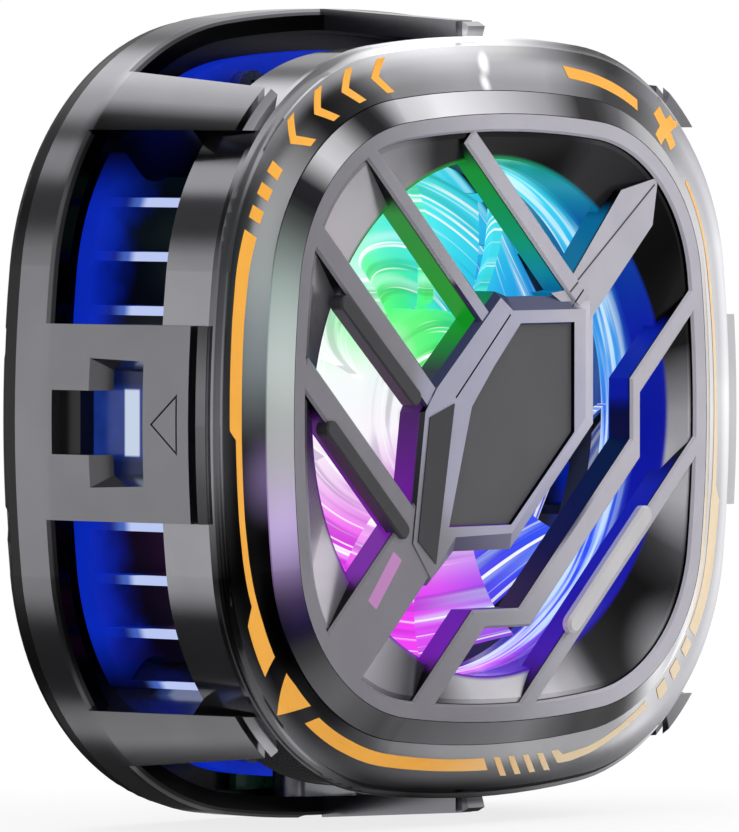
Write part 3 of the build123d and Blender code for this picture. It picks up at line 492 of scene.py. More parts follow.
def grilleTone(finish, drift, wall):
    # Painted grey, darker at the left with painted shade, with painted shade tinted blue above and purple
    # below on the bevels round the hub and painted shade on the walls, and a dark line on the widest bar
    front, up = finish.facing()[1:]
    radius = finish.radius()
    sideShade = shade(finish.x + finish.z * grille["toneLean"], grille["toneLeft"], grille["toneRight"])
    tone = blend(sideShade, paint(grille["shadedLeftTone"]), paint(grille["litRightTone"]))
    hub = shade(radius, grille["hubStart"], grille["hubFull"]) * grille["hubDepth"]
    tone = blend(hub, tone, paint(grille["hubTone"]))
    tone = blend(clouds(drift) * grille["uneven"], tone, black)
    bevel = between(front, grille["bevelLow"], grille["bevelHigh"], grille["bevelSoft"])
    bevel = bevel * shade(radius, grille["bevelStart"], grille["bevelFull"])
    tone = blend(bevel * shade(up, *grille["bevelShows"]), tone, paint(grille["bevelUpperShade"]))
    tone = blend(bevel * shade(up * -1.0, *grille["bevelShows"]), tone, paint(grille["bevelLowerShade"]))
    ridge = stripe(finish, grille["ridgeFrom"], grille["ridgeTo"], grille["ridgeHalf"])
    tone = blend(ridge * shade(front, *grille["ridgeShows"]), tone, paint(grille["ridgeTone"]))
    return blend(wall, tone, paint(grille["wallShade"]))


def grilleLight(finish, wall):
    # The fan's colours painted as a glow on the bars' walls, and a painted pink reflection on the lower left
    # bar
    radius = finish.radius()
    unlit = between(finish.x - finish.z, grille["darkLow"], grille["darkHigh"], grille["darkSoft"])
    unlit = unlit * shade(finish.z, grille["darkTop"], grille["darkFull"])
    glow = wall * shade(radius, grille["fadeEnd"], grille["fadeStart"]) * (1.0 - unlit * grille["darkDepth"])
    glow = glow * shade(finish.depth, grille["rimDark"], grille["rimLit"])
    navy = shade(radius, *grille["navyRadius"]) * shade(finish.x, *grille["navyX"])
    navy = navy * shade(finish.z, *grille["navyZ"]) * grille["navyDepth"]
    light = blend(glow, black, blend(navy, wheel(finish, wallColours), paint(grille["navy"])))
    pinkReflection = stripe(finish, grille["pinkFrom"], grille["pinkTo"], grille["pinkHalf"])
    pinkReflection = pinkReflection * finish.forward(*grille["pinkShows"]) * grille["pinkGlow"]
    return blend(pinkReflection, light, paint(grille["pinkReflection"]))


def litGrille():
    # Painted bars with painted shade, and walls that carry a painted glow of the colours of the fan below
    look = plainLooks["lightGrille"]
    finish = Finish("litGrille")
    drift, fine = softAndFine(finish, look)
    wall = shade(finish.facing()[1].size(), *grille["wallShows"])
    return finish.close(
        Base_Color=grilleTone(finish, drift, wall), Metallic=look["metallic"],
        Roughness=look["rough"] + (fine - 0.5) * look["spread"], Specular_IOR_Level=grille["specular"],
        Emission_Color=grilleLight(finish, wall), Normal=finish.bump(fine, look["bump"]))


# Reflections painted on the glossy dish by direction, dark where the black inner shell is reflected in it
dishReflections = [
    (0, "C4C4C8"), (14, "161618"), (34, "060607"), (44, "141416"), (54, "404043"), (62, "444447"),
    (69, "161618"), (82, "0C0A0E"), (98, "161518"), (109, "18171C"), (117, "88868A"), (126, "98969A"),
    (142, "928E94"), (156, "8A888C"), (170, "3A3840"), (184, "504A58"), (198, "A8A2AC"), (230, "9A989E"),
    (243, "2C2A32"), (252, "5A585E"), (262, "C0BEC4"), (272, "C8C6CA"), (286, "D4D2D8"), (294, "A8A6AA"),
    (300, "2A2A2C"), (314, "08080A"), (322, "101012"), (332, "4A4A4D"), (342, "B6B6BA"), (352, "D0D0D4"),
    (360, "C4C4C8"),
]
# The bore tone is painted shade, and the light spot is a painted patch of light
dish = dict(
    metallic=0.6, rough=0.2, spread=0.08, boreStart=22.15, boreEnd=21.75, boreShade="08080C", smoke="707074",
    smokeSize=9.0, smokeWarp=0.4, smokeDepth=0.2, lightSpot=(21.0, -20.5, 6.0), lightDepth=0.8,
    lightTone="C8C8CC")


def litDuct():
    # Smoked glossy dish with painted reflections and a painted patch of light, and painted shade on the edge
    # of its bore, where the fan's colours glow as painted light
    finish = Finish("glossDuct")
    drift = noise(finish.place, dish["smokeSize"], detail=2.0, warp=dish["smokeWarp"])
    bore = shade(finish.radius(), dish["boreStart"], dish["boreEnd"])
    smoky = clouds(drift, smoke["reach"]) * dish["smokeDepth"]
    tone = blend(smoky, wheel(finish, dishReflections), paint(dish["smoke"]), "OVERLAY")
    tone = blend(finish.spot(*dish["lightSpot"]) * dish["lightDepth"], tone, paint(dish["lightTone"]))
    return finish.close(
        Base_Color=blend(bore, tone, paint(dish["boreShade"])), Metallic=dish["metallic"],
        Roughness=dish["rough"] + (drift - 0.5) * dish["spread"],
        Emission_Color=blend(bore, black, wheel(finish, wallColours)))


# Depths and half widths in millimetres between which the fins turn blue, get their light line and turn white
fins = dict(
    metallic=0.7, rough=0.35, spread=0.1, grain=0.3, bump=0.006, dark="0C0D12", lit="1C2240", navy="02030E",
    blue="0526B4", line="4A6CCC", lineDepth=0.8, shine="B8C6F2", edge=29.6, edgeSoft=0.3, lineStart=10.3,
    whiteStart=11.9, whiteFull=13.0, blueFar=25.5, blueNear=31.5, cloud=3.0, cloudReach=3.0, cornerDark=23.0,
    cornerLit=17.0, frontStart=12.6, frontEnd=8.6, pocketBack=7.6, pocketFront=7.9, pocketLeft=-20.9,
    pocketRight=-20.2)


def litFins():
    # Aluminium fins in the blue side light, white on the edges that come nearest to the lamps
    finish = Finish("litAluminium")
    fine = noise(finish.place, fins["grain"], detail=texture["detail"])
    cloud = noise(finish.place, fins["cloud"])
    half = finish.half()
    edge = shade(half, fins["edge"] - fins["edgeSoft"], fins["edge"] + fins["edgeSoft"])
    near = shade(half + (cloud - 0.5) * fins["cloudReach"], fins["blueFar"], fins["blueNear"])
    near = near * shade(finish.depth, fins["frontStart"], fins["frontEnd"])
    corner = half.maths("MINIMUM", finish.x.size(), finish.z.size())
    near = near * shade(corner, fins["cornerDark"], fins["cornerLit"])
    line = edge * shade(finish.depth, fins["lineStart"], fins["whiteStart"]) * fins["lineDepth"]
    shine = edge * shade(finish.depth, fins["whiteStart"], fins["whiteFull"])
    colour = blend(near, paint(fins["navy"]), paint(fins["blue"]))
    colour = blend(shine, blend(line, colour, paint(fins["line"])), paint(fins["shine"]))
    pocket = discPocket(finish) * shade(finish.depth, fins["pocketBack"], fins["pocketFront"])
    pocket = pocket * shade(finish.x, fins["pocketLeft"], fins["pocketRight"])
    return finish.close(
        Base_Color=blend(near, paint(fins["dark"]), paint(fins["lit"])), Metallic=fins["metallic"],
        Roughness=fins["rough"] + (fine - 0.5) * fins["spread"],
        Emission_Color=blend(pocket, colour, discLight(finish)), Normal=finish.bump(fine, fins["bump"]))


fanFrame = dict(colour="3A3A3D", shaded="0C0E18", rough=0.5, spread=0.10, grain=0.2, bump=0.01)


def litFrame():
    # The fan's frame in grey plastic, washed by the same light as the blades
    finish = Finish("litFrame")
    fine = noise(finish.place, fanFrame["grain"], detail=texture["detail"])
    pocket = discPocket(finish)
    return finish.close(
        Base_Color=blend(pocket, paint(fanFrame["shaded"]), paint(fanFrame["colour"])),
        Roughness=fanFrame["rough"] + (fine - 0.5) * fanFrame["spread"],
        Emission_Color=blend(pocket, black, discLight(finish)), Normal=finish.bump(fine, fanFrame["bump"]))


guide = dict(
    body="0A0E20", rough=0.25, spread=0.1, cloud=2.5, blue="16307E", deep="102A70", dark="070B26",
    strip="C0CCE0", stripHalf=2.75, stripStart=13.25, stripEnd=14.95, edge=0.12, fadeStart=2.4, fadeEnd=3.4,
    fadeDepth=0.85)


def litSlotGuide():
    # Panel behind the slots, glowing with painted blue light that darkens towards its ends, with the bright
    # painted strip of its lamp at the front
    finish = Finish("litSlotGuide")
    cloud = noise(finish.place, guide["cloud"])
    high = finish.z.size()
    strip = between(finish.depth, guide["stripStart"], guide["stripEnd"], guide["edge"])
    strip = strip * shade(high, guide["stripHalf"] + guide["edge"], guide["stripHalf"] - guide["edge"])
    blue = blend(clouds(cloud, smoke["reach"]), paint(guide["deep"]), paint(guide["blue"]))
    ends = shade(high, guide["fadeStart"], guide["fadeEnd"]) * guide["fadeDepth"]
    blue = blend(ends, blue, paint(guide["dark"]))
    return finish.close(
        Base_Color=paint(guide["body"]), Roughness=guide["rough"] + (cloud - 0.5) * guide["spread"],
        Emission_Color=blend(strip, blue, paint(guide["strip"])))


board = dict(
    cell=1.6, trackStart=0.42, trackFull=0.5, lacquer="0E3B22", track="1A5A34", rough=0.35, spread=0.1,
    coat=0.3)


def boardFinish():
    # Green lacquered board with a faint copper pattern under the lacquer
    finish = Finish("circuitBoard")
    sockets = {"Vector": finish.place, "Scale": 1 / (board["cell"] * mm)}
    cells = finish.place.put("ShaderNodeTexVoronoi", {"distance": "MANHATTAN"}, sockets)
    tracks = shade(cells, board["trackStart"], board["trackFull"])
    return finish.close(
        Base_Color=blend(tracks, paint(board["lacquer"]), paint(board["track"])),
        Roughness=board["rough"] + tracks * board["spread"], Coat_Weight=board["coat"])


copper = dict(
    turn=0.9, uneven=0.4, dark="7A3A16", light="D0793C", metallic=0.9, rough=0.3, spread=0.1, bump=0.05)


def copperFinish():
    # Enamelled wire, wound in close turns
    finish = Finish("windings")
    sockets = {"Vector": finish.place, "Scale": 1 / (copper["turn"] * mm), "Distortion": copper["uneven"]}
    turns = finish.place.put("ShaderNodeTexWave", {"bands_direction": "Y"}, sockets)
    return finish.close(
        Base_Color=blend(turns, paint(copper["dark"]), paint(copper["light"])), Metallic=copper["metallic"],
        Roughness=copper["rough"] + turns * copper["spread"], Normal=finish.bump(turns, copper["bump"]))


lampDie = dict(cloud=0.8, warm="FFF4D0", rough=0.3)


def lampFinish():
    # The lit die of a lamp
    finish = Finish("lampDie")
    colour = blend(clouds(noise(finish.place, lampDie["cloud"])), paint(lampDie["warm"]), white)
    return finish.close(Base_Color=colour, Roughness=lampDie["rough"], Emission_Color=colour)


ink = dict(
    left="F0A838", patch="FBB848", patchSize=5.0, patchDepth=0.3, right="DCD2B6", fadeSlope=0.6,
    fadeStart=8.0, fadeEnd=30.0, fadeDepth=0.8, glow=0.1, rough=0.45, spread=0.15, grain=0.2, bump=0.004)


def inkFinish():
    # Orange pad printing, paler towards the right, with a faint painted glow
    finish = Finish("orangeInk")
    fine = noise(finish.place, ink["grain"], detail=texture["detail"])
    cloud = clouds(noise(finish.place, ink["patchSize"])) * ink["patchDepth"]
    tone = blend(cloud, paint(ink["left"]), paint(ink["patch"]))
    slant = finish.x - finish.z * ink["fadeSlope"]
    paler = shade(slant, ink["fadeStart"], ink["fadeEnd"]) * ink["fadeDepth"]
    tone = blend(paler, tone, paint(ink["right"]))
    return finish.close(
        Base_Color=tone, Roughness=ink["rough"] + (fine - 0.5) * ink["spread"],
        Emission_Color=tone.vector("MULTIPLY", tone, (ink["glow"],) * 3),
        Normal=finish.bump(fine, ink["bump"]))


finishes = {name: plainFinish(name, look) for name, look in plainLooks.items()}
finishes.update(
    housing=housingFinish(), glossBezel=paintedReflectionFinish("glossBezel", bezel),
    litTrim=paintedReflectionFinish("litTrim", trim), litDisc=litDisc(), litWall=litWall(), litGrille=litGrille(),
    litDuct=litDuct(), litFins=litFins(), litFrame=litFrame(), litSlotGuide=litSlotGuide(),
    circuitBoard=boardFinish(), windings=copperFinish(), lamp=lampFinish(), ink=inkFinish(),
)
print("finishes:", len(finishes))

nodeFinishes = {
    "rear_cover": "blackPlastic", "thermal_pad": "silicone", "cold_plate": "aluminium",
    "ring_magnets": "platedMagnet", "magnet_shield": "steel", "cold_ceramic": "ceramic",
    "cooler_pellets": "pellet", "hot_ceramic": "ceramic", "insulating_foam": "foam", "heat_sink": "litFins",
    "mid_housing": "housing", "inner_shroud": "glossGunmetal", "front_bezel": "glossBezel",
    "trim_ring": "litTrim", "air_duct": "litDuct", "grille": "litGrille", "hub_plate": "darkInsert",
    "grille_inserts": "blackInsert", "raised_bar": "lightGrille", "light_ring": "litWall",
    "led_board": "circuitBoard", "leds": "lamp", "fan_frame": "litFrame", "bearing_bush": "bronze",
    "stator_core": "steel", "stator_coils": "windings", "motor_board": "circuitBoard", "impeller": "litDisc",
    "rotor_yoke": "steel", "rotor_magnet": "ferrite", "rotor_shaft": "steel",
    "slot_light_guides": "litSlotGuide", "slot_stops": "blackPlastic", "charging_inlet": "steel",
    "control_board": "circuitBoard", "cover_screws": "steel", "shroud_screws": "steel",
    "sink_screws": "steel", "fan_screws": "steel",
}
for nodeName, finishName in nodeFinishes.items():
    materials = nodes[nodeName].data.materials
    materials.clear()
    materials.append(finishes[finishName])


def faceOutwards(mesh):
    # Joins doubled points, then turns every face to the outside
    shape = bmesh.new()
    shape.from_mesh(mesh)
    bmesh.ops.remove_doubles(shape, verts=shape.verts, dist=0.001 * mm)
    bmesh.ops.recalc_face_normals(shape, faces=shape.faces)
    shape.to_mesh(mesh)
    shape.free()


def makePiece(name, points, faces, finish, body):
    mesh = bpy.data.meshes.new(name)
    mesh.from_pydata(points, [], faces)
    mesh.validate()
    faceOutwards(mesh)
    mesh.materials.append(finish)
    piece = bpy.data.objects.new(name, mesh)
    bpy.context.scene.collection.objects.link(piece)
    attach(piece, body)


# The bezel follows four bowed sides joined by round corners. A place on it is a run along the middle of the
# band, anticlockwise from the middle of the right side, and a half width, both in millimetres
outline = dict(sideBow=107.0, cornerRound=23.6, middleHalf=29.7, castFrom=60.0)
halfWidth = cadBox[1][0] / mm
bowOffset = outline["sideBow"] - halfWidth
centreGap = outline["sideBow"] - outline["cornerRound"]
cornerCentre = (math.sqrt(2 * centreGap ** 2 - bowOffset ** 2) - bowOffset) / 2
sideSwing = math.atan2(cornerCentre, cornerCentre + bowOffset)
middleCorner = outline["middleHalf"] - halfWidth + outline["cornerRound"]
sideRun = (outline["middleHalf"] + bowOffset) * sideSwing
quarterRun = 2 * sideRun + middleCorner * (math.pi / 2 - 2 * sideSwing)

bezelMesh = nodes["front_bezel"].data
bezelTree = BVHTree.FromPolygons([v.co for v in bezelMesh.vertices], [p.vertices for p in bezelMesh.polygons])


def outlineSpot(run, half):
    # The x and z of a place on the band
    quarter = math.floor((run + sideRun) / quarterRun)
    rest = run - quarter * quarterRun
    if rest <= sideRun:
        angle = rest / (outline["middleHalf"] + bowOffset)
        x = (half + bowOffset) * math.cos(angle) - bowOffset
        z = (half + bowOffset) * math.sin(angle)
    else:
        angle = sideSwing + (rest - sideRun) / middleCorner
        corner = half - halfWidth + outline["cornerRound"]
        x = cornerCentre + corner * math.cos(angle)
        z = cornerCentre + corner * math.sin(angle)
    turn = quarter * math.pi / 2
    return x * math.cos(turn) - z * math.sin(turn), x * math.sin(turn) + z * math.cos(turn)


def bezelSpot(run, half):
    # The point of the bezel's crown at that place, and the way the crown faces there
    x, z = outlineSpot(run, half)
    start = Vector((x * mm, -outline["castFrom"] * mm, z * mm))
    point, normal = bezelTree.ray_cast(start, Vector((0, 1, 0)))[:2]
    return point, normal if normal.y < 0 else -normal


def lerp(first, second, share):
    return tuple(a + (b - a) * share for a, b in zip(first, second))


# How far the ink stands above and below the crown, how long its cells are and how many lie across a stripe
marks = dict(lift=0.03, sink=0.03, cell=0.45, across=4)


def patch(inner, outer):
    # A raised skin of ink between two lines of (run, half) places that have as many points each
    points, faces, places = [], [], []
    pairs = list(zip(inner, outer))
    for (innerA, outerA), (innerB, outerB) in zip(pairs, pairs[1:]):
        length = max(math.dist(innerA, innerB), math.dist(outerA, outerB))
        steps = max(1, math.ceil(length / marks["cell"]))
        for step in range(steps):
            places.append((lerp(innerA, innerB, step / steps), lerp(outerA, outerB, step / steps)))
    places.append((inner[-1], outer[-1]))
    count = marks["across"]
    for low, high in places:
        for step in range(count + 1):
            point, normal = bezelSpot(*lerp(low, high, step / count))
            points.append(point + normal * marks["lift"] * mm)
            points.append(point - normal * marks["sink"] * mm)

    def at(row, column, under):
        return (row * (count + 1) + column) * 2 + under

    rows = len(places) - 1
    for row in range(rows):
        for column in range(count):
            corners = ((row, column), (row, column + 1), (row + 1, column + 1), (row + 1, column))
            faces.extend(tuple(at(*corner, under) for corner in corners) for under in (0, 1))
        for column in (0, count):
            corners = ((row, 0), (row + 1, 0), (row + 1, 1), (row, 1))
            faces.append(tuple(at(place, column, under) for place, under in corners))
    for column in range(count):
        for row in (0, rows):
            corners = ((column, 0), (column, 1), (column + 1, 1), (column + 1, 0))
            faces.append(tuple(at(row, place, under) for place, under in corners))
    return points, faces


def printMark(name, inner, outer):
    points, faces = patch(inner, outer)
    makePiece(name, points, faces, finishes["ink"], "cooler")


# Each stripe: its inner line and its outer line, point by point
stripes = {
    "bezelLeftStripe": (
        [(84.5, 29.15), (88.0, 29.4), (92.0, 29.5), (100.9, 29.45), (101.5, 29.45), (108.0, 29.4),
         (111.5, 29.25), (115.3, 28.95), (116.9, 28.85), (120.3, 28.8)],
        [(84.15, 30.4), (88.0, 30.6), (92.0, 30.65), (100.6, 30.6), (101.4, 30.0), (108.0, 29.93),
         (111.5, 29.8), (115.3, 29.5), (116.7, 30.25), (121.3, 30.3)],
    ),
    "bezelPointer": (
        [(122.25, 28.5), (123.8, 28.35), (126.55, 28.3)],
        [(124.55, 31.0), (124.62, 31.1), (124.7, 31.0)],
    ),
    "bezelLowerStripe": (
        [(128.1, 28.45), (133.0, 28.4), (139.0, 28.55), (145.0, 28.65), (149.8, 28.6)],
        [(127.3, 29.6), (133.0, 29.52), (139.0, 29.6), (145.0, 29.65), (150.6, 29.65)],
    ),
    "bezelTaper": (
        [(158.3, 28.65), (159.15, 28.65), (159.9, 29.15), (163.0, 28.95), (166.0, 28.5), (169.0, 28.12),
         (171.3, 27.95)],
        [(159.35, 29.8), (159.8, 29.85), (161.0, 29.85), (163.5, 29.55), (166.0, 29.15), (169.0, 28.8),
         (171.6, 28.7)],
    ),
    "bezelRightStripe": (
        [(180.45, 27.85), (186.0, 28.1), (192.3, 28.35), (193.6, 28.5), (200.3, 28.6), (208.0, 28.5),
         (215.0, 28.15), (221.3, 27.95)],
        [(180.45, 29.5), (186.0, 29.7), (192.5, 29.95), (193.8, 29.3), (200.3, 29.15), (208.0, 29.0),
         (215.0, 28.6), (221.3, 28.4)],
    ),
    "bezelUpperStripe": (
        [(30.3, 28.5), (35.0, 28.7), (39.7, 28.95)],
        [(30.5, 29.45), (35.0, 29.65), (40.3, 29.95)],
    ),
}
for name, (innerLine, outerLine) in stripes.items():
    printMark(name, innerLine, outerLine)

# Four arrowheads that point along the band
arrows = dict(starts=(61.9, 65.7, 69.5, 73.3), length=1.25, stroke=0.95, low=28.0, high=30.9)
for index, start in enumerate(arrows["starts"]):
    middle = (arrows["low"] + arrows["high"]) / 2
    back = [(start, arrows["low"]), (start + arrows["length"], middle), (start, arrows["high"])]
    printMark("bezelArrow%d" % (index + 1), back, [(run + arrows["stroke"], half) for run, half in back])

# A cross near the upper right corner, one bar in two halves beside the other: angle, start and end of each
cross = dict(run=26.1, half=29.5, reach=1.85, stroke=0.58, lean=0.35)
crossBars = {
    "bezelCross1": (cross["lean"], -cross["reach"], cross["reach"]),
    "bezelCross2": (cross["lean"] + math.pi / 2, cross["stroke"], cross["reach"]),
    "bezelCross3": (cross["lean"] + math.pi / 2, -cross["reach"], -cross["stroke"]),
}
for name, (angle, low, high) in crossBars.items():
    along = (math.cos(angle), math.sin(angle))
    aside = (-along[1] * cross["stroke"], along[0] * cross["stroke"])
    ends = [(cross["run"] + s * along[0], cross["half"] + s * along[1]) for s in (low, high)]
    inner = [(run - aside[0], half - aside[1]) for run, half in ends]
    printMark(name, inner, [(run + aside[0], half + aside[1]) for run, half in ends])
print("marks on the bezel:", len(stripes) + len(arrows["starts"]) + len(crossBars))


def rowTree():
    # Equal blocks along a line, lying as the line's own "lean" says
    tree = bpy.data.node_groups.new("markRow", "GeometryNodeTree")
    interface = tree.interface
    interface.new_socket("Geometry", in_out="INPUT", socket_type="NodeSocketGeometry")
    for name in ("Start", "Pitch", "Width", "Height", "Thickness", "Slant"):
        interface.new_socket(name, in_out="INPUT", socket_type="NodeSocketFloat")
    interface.new_socket("Count", in_out="INPUT", socket_type="NodeSocketInt")
    interface.new_socket("Finish", in_out="INPUT", socket_type="NodeSocketMaterial")
    interface.new_socket("Geometry", in_out="OUTPUT", socket_type="NodeSocketGeometry")
    given = Wire(tree).put("NodeGroupInput")
    line = given.put("GeometryNodeMeshToCurve", {}, {0: given.output("Geometry")})
    index = given.put("GeometryNodeInputIndex")
    reach = given.output("Start") + index * given.output("Pitch")
    lean = given.put("GeometryNodeInputNamedAttribute", {"data_type": "FLOAT_VECTOR"}, {"Name": "lean"})
    settings = {"mode": "LENGTH", "data_type": "FLOAT_VECTOR"}
    sockets = {"Curves": line, "Value": lean, "Length": reach}
    sample = given.put("GeometryNodeSampleCurve", settings, sockets, out="Value")
    row = given.put("GeometryNodeMeshLine", {}, {"Count": given.output("Count"), "Offset": (0, 0, 0)})
    sockets = {"Geometry": row, "Position": sample.output("Position")}
    placed = given.put("GeometryNodeSetPosition", {}, sockets)
    settings = {"primary_axis": "Z", "secondary_axis": "X"}
    turn = given.put("FunctionNodeAxesToRotation", settings, {0: sample, 1: sample.output("Tangent")})
    sides = {0: given.output("Width"), 1: given.output("Height"), 2: given.output("Thickness")}
    size = given.put("ShaderNodeCombineXYZ", {}, sides)
    sockets = {"Size": size, "Vertices X": 3, "Vertices Y": 4, "Vertices Z": 2}
    block = given.put("GeometryNodeMeshCube", {}, sockets)
    apart = given.put("ShaderNodeSeparateXYZ", {}, {0: given.put("GeometryNodeInputPosition")})
    shift = given.put("ShaderNodeCombineXYZ", {}, {0: apart.output("Y") * given.output("Slant")})
    block = given.put("GeometryNodeSetPosition", {}, {"Geometry": block, "Offset": shift})
    sockets = {"Points": placed, "Instance": block, "Rotation": turn}
    copies = given.put("GeometryNodeInstanceOnPoints", {}, sockets)
    solid = given.put("GeometryNodeRealizeInstances", {}, {0: copies})
    sockets = {"Geometry": solid, "Material": given.output("Finish")}
    finished = given.put("GeometryNodeSetMaterial", {}, sockets)
    end = tree.nodes.new("NodeGroupOutput")
    tree.links.new(finished.socket, end.inputs[0])
    return tree


blockRow = rowTree()


def layRow(name, line, row, finish, body):
    # Runs the tree on the line and keeps what comes out as a plain piece
    sizes = dict(Start="first", Pitch="pitch", Width="width", Height="height", Thickness="thick")
    values = {name: row[key] * mm for name, key in sizes.items()}
    values.update(Slant=row["slant"], Count=row["count"], Finish=finish)
    guideLine = bpy.data.objects.new(name + "Line", line)
    bpy.context.scene.collection.objects.link(guideLine)
    modifier = guideLine.modifiers.new("row", "NODES")
    modifier.node_group = blockRow
    for item in blockRow.interface.items_tree:
        if item.item_type == "SOCKET" and item.in_out == "INPUT" and item.name in values:
            modifier[item.identifier] = values[item.name]
    graph = bpy.context.evaluated_depsgraph_get()
    graph.update()
    made = bpy.data.meshes.new_from_object(guideLine.evaluated_get(graph), depsgraph=graph)
    bpy.data.objects.remove(guideLine)
    made.name = name
    piece = bpy.data.objects.new(name, made)
    bpy.context.scene.collection.objects.link(piece)
    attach(piece, body)


def leanLine(name, points, leans):
    # A line that carries, at each point, the way the blocks on it face
    mesh = bpy.data.meshes.new(name)
    mesh.from_pydata(points, [(index, index + 1) for index in range(len(points) - 1)], [])
    attribute = mesh.attributes.new("lean", "FLOAT_VECTOR", "POINT")
    for item, lean in zip(attribute.data, leans):
        item.vector = lean
    return mesh


rows = {
    "bezelSquares": dict(
        start=77.0, end=84.5, lowHalf=29.45, highHalf=29.75, first=1.4, pitch=2.1, width=1.1, height=1.2,
        thick=0.1, slant=0.1, count=3),
    "bezelBars": dict(
        start=150.5, end=160.0, lowHalf=29.45, highHalf=29.6, first=1.6, pitch=1.82, width=0.72, height=1.85,
        thick=0.1, slant=-0.78, count=4),
    "bezelBlocks": dict(
        start=172.5, end=181.0, lowHalf=28.7, highHalf=28.7, first=1.4, pitch=2.35, width=1.35, height=1.5,
        thick=0.1, slant=0.0, count=3),
}
lineSteps = 60
for name, row in rows.items():
    spots = []
    for step in range(lineSteps + 1):
        run, half = lerp((row["start"], row["lowHalf"]), (row["end"], row["highHalf"]), step / lineSteps)
        spots.append(bezelSpot(run, half))
    line = leanLine(name, [point for point, normal in spots], [normal for point, normal in spots])
    layRow(name, line, row, finishes["ink"], "cooler")
print("rows of marks:", len(rows))

# Contacts on both faces of the inlet's tongue, as a row of flat bars along x
contacts = dict(
    tongueDepth=4.95, tongueHalf=0.35, side=3.2, middle=-29.5, first=0.45, pitch=0.5, width=0.25, height=3.4,
    thick=0.06, slant=0.0, count=12)
for name, lean in (("inletContactsFront", -1), ("inletContactsBack", 1)):
    depth = contacts["tongueDepth"] - lean * contacts["tongueHalf"]
    ends = [(side * contacts["side"] * mm, -depth * mm, contacts["middle"] * mm) for side in (-1, 1)]
    line = leanLine(name, ends, [(0, lean, 0)] * 2)
    layRow(name, line, contacts, finishes["goldPlate"], "cooler")
print("rows of contacts on the inlet: 2")

studio = dict(
    floorColour="F6F6F6", floorSize=6.0, floorGlow=0.80, glowStart=0.06, glowEnd=0.25, sky=0.5,
    skyColour="F4F4F8", aim=(0, -0.014, 0))


def makeFloor():
    low = cadBox[0][2]
    half = studio["floorSize"] / 2
    mesh = bpy.data.meshes.new("studioFloor")
    corners = [(x * half, y * half, low) for x, y in ((-1, -1), (1, -1), (1, 1), (-1, 1))]
    mesh.from_pydata(corners, [], [(0, 1, 2, 3)])
    floor = bpy.data.objects.new("studioFloor", mesh)
    bpy.context.scene.collection.objects.link(floor)
    floor.visible_glossy = False
    material = bpy.data.materials.new("studioFloor")
    material.use_nodes = True
    tree = material.node_tree
    tree.nodes.clear()
    path = Wire(tree).put("ShaderNodeLightPath")
    seen = path.maths("MAXIMUM", path.output("Is Camera Ray"), path.output("Is Transmission Ray"))
    spread = path.vector("LENGTH", path.put("ShaderNodeTexCoord", out="Object"), out="Value")
    far = shade(spread, studio["glowStart"], studio["glowEnd"])
    bright = far * (1 - studio["floorGlow"]) + studio["floorGlow"]
    matt = path.put("ShaderNodeBsdfDiffuse", {}, {"Color": paint(studio["floorColour"])})
    glow = path.put("ShaderNodeEmission", {}, {"Color": white, "Strength": 1.0})
    mixed = path.put("ShaderNodeMixShader", {}, {0: seen * bright, 1: matt, 2: glow})
    end = tree.nodes.new("ShaderNodeOutputMaterial")
    tree.links.new(mixed.socket, end.inputs["Surface"])
    mesh.materials.append(material)


# Soft cards round the object, which only its glossy surfaces show. Each: the direction it stands in, in
# degrees round from the front and above level, the angles where it starts and stops to fade, and how bright
cards = [
    (0, 90, 15, 34, 0.7), (10, 60, 16, 34, 0.8), (-105, 60, 14, 30, 0.72), (60, 45, 14, 30, 0.32),
    (70, 0, 16, 42, 1.7), (95, 36, 20, 40, 1.05), (126, 10, 14, 28, 0.96), (165, 54, 10, 24, 1.85),
    (170, 25, 8, 20, 0.5), (150, 12, 8, 20, 0.27), (150, -28, 16, 30, 0.03), (112, -40, 12, 26, 0.06),
    (0, 42, 8, 22, 0.75), (30, 38, 5, 16, 0.4), (12, 18, 6, 18, 0.76), (5, 2, 8, 18, 0.85),
    (30, -2, 5, 14, 0.07), (-55, 4, 18, 32, 0.34), (-50, 40, 18, 34, 0.23), (-88, 2, 5, 14, 0.7),
    (-142, 30, 10, 24, 0.07), (-142, -34, 8, 24, 0.03), (-170, -30, 14, 26, 0.02), (-134, -3, 2, 25, 0.82),
    (-112, 4, 4, 11, 0.11), (-152, 38, 3, 9, 0.85), (-162, 50, 3, 10, 0.02), (-178, 51, 3, 11, 1.0),
    (-110, -26, 12, 24, 0.01), (-75, -26, 12, 24, 0.03), (-40, -26, 12, 24, 0.01), (-5, -24, 10, 22, 0.01),
    (-12, -46, 5, 14, 0.15), (20, -42, 6, 16, 0.06), (45, -20, 8, 20, 0.25), (68, -35, 8, 18, 0.69),
    (0, -66, 14, 28, 0.35), (-90, -66, 12, 26, 0.28), (0, -90, 6, 18, 0.7), (-174, -51, 5, 13, 0.55),
    (164, -48, 4, 12, 0.03), (90, -5, 8, 20, 1.7), (50, 2, 6, 16, 0.6),
]
cardLight = dict(base=0.3, wisp=0.08, wispScale=2.2, wispDetail=1.5, wispWarp=0.6)


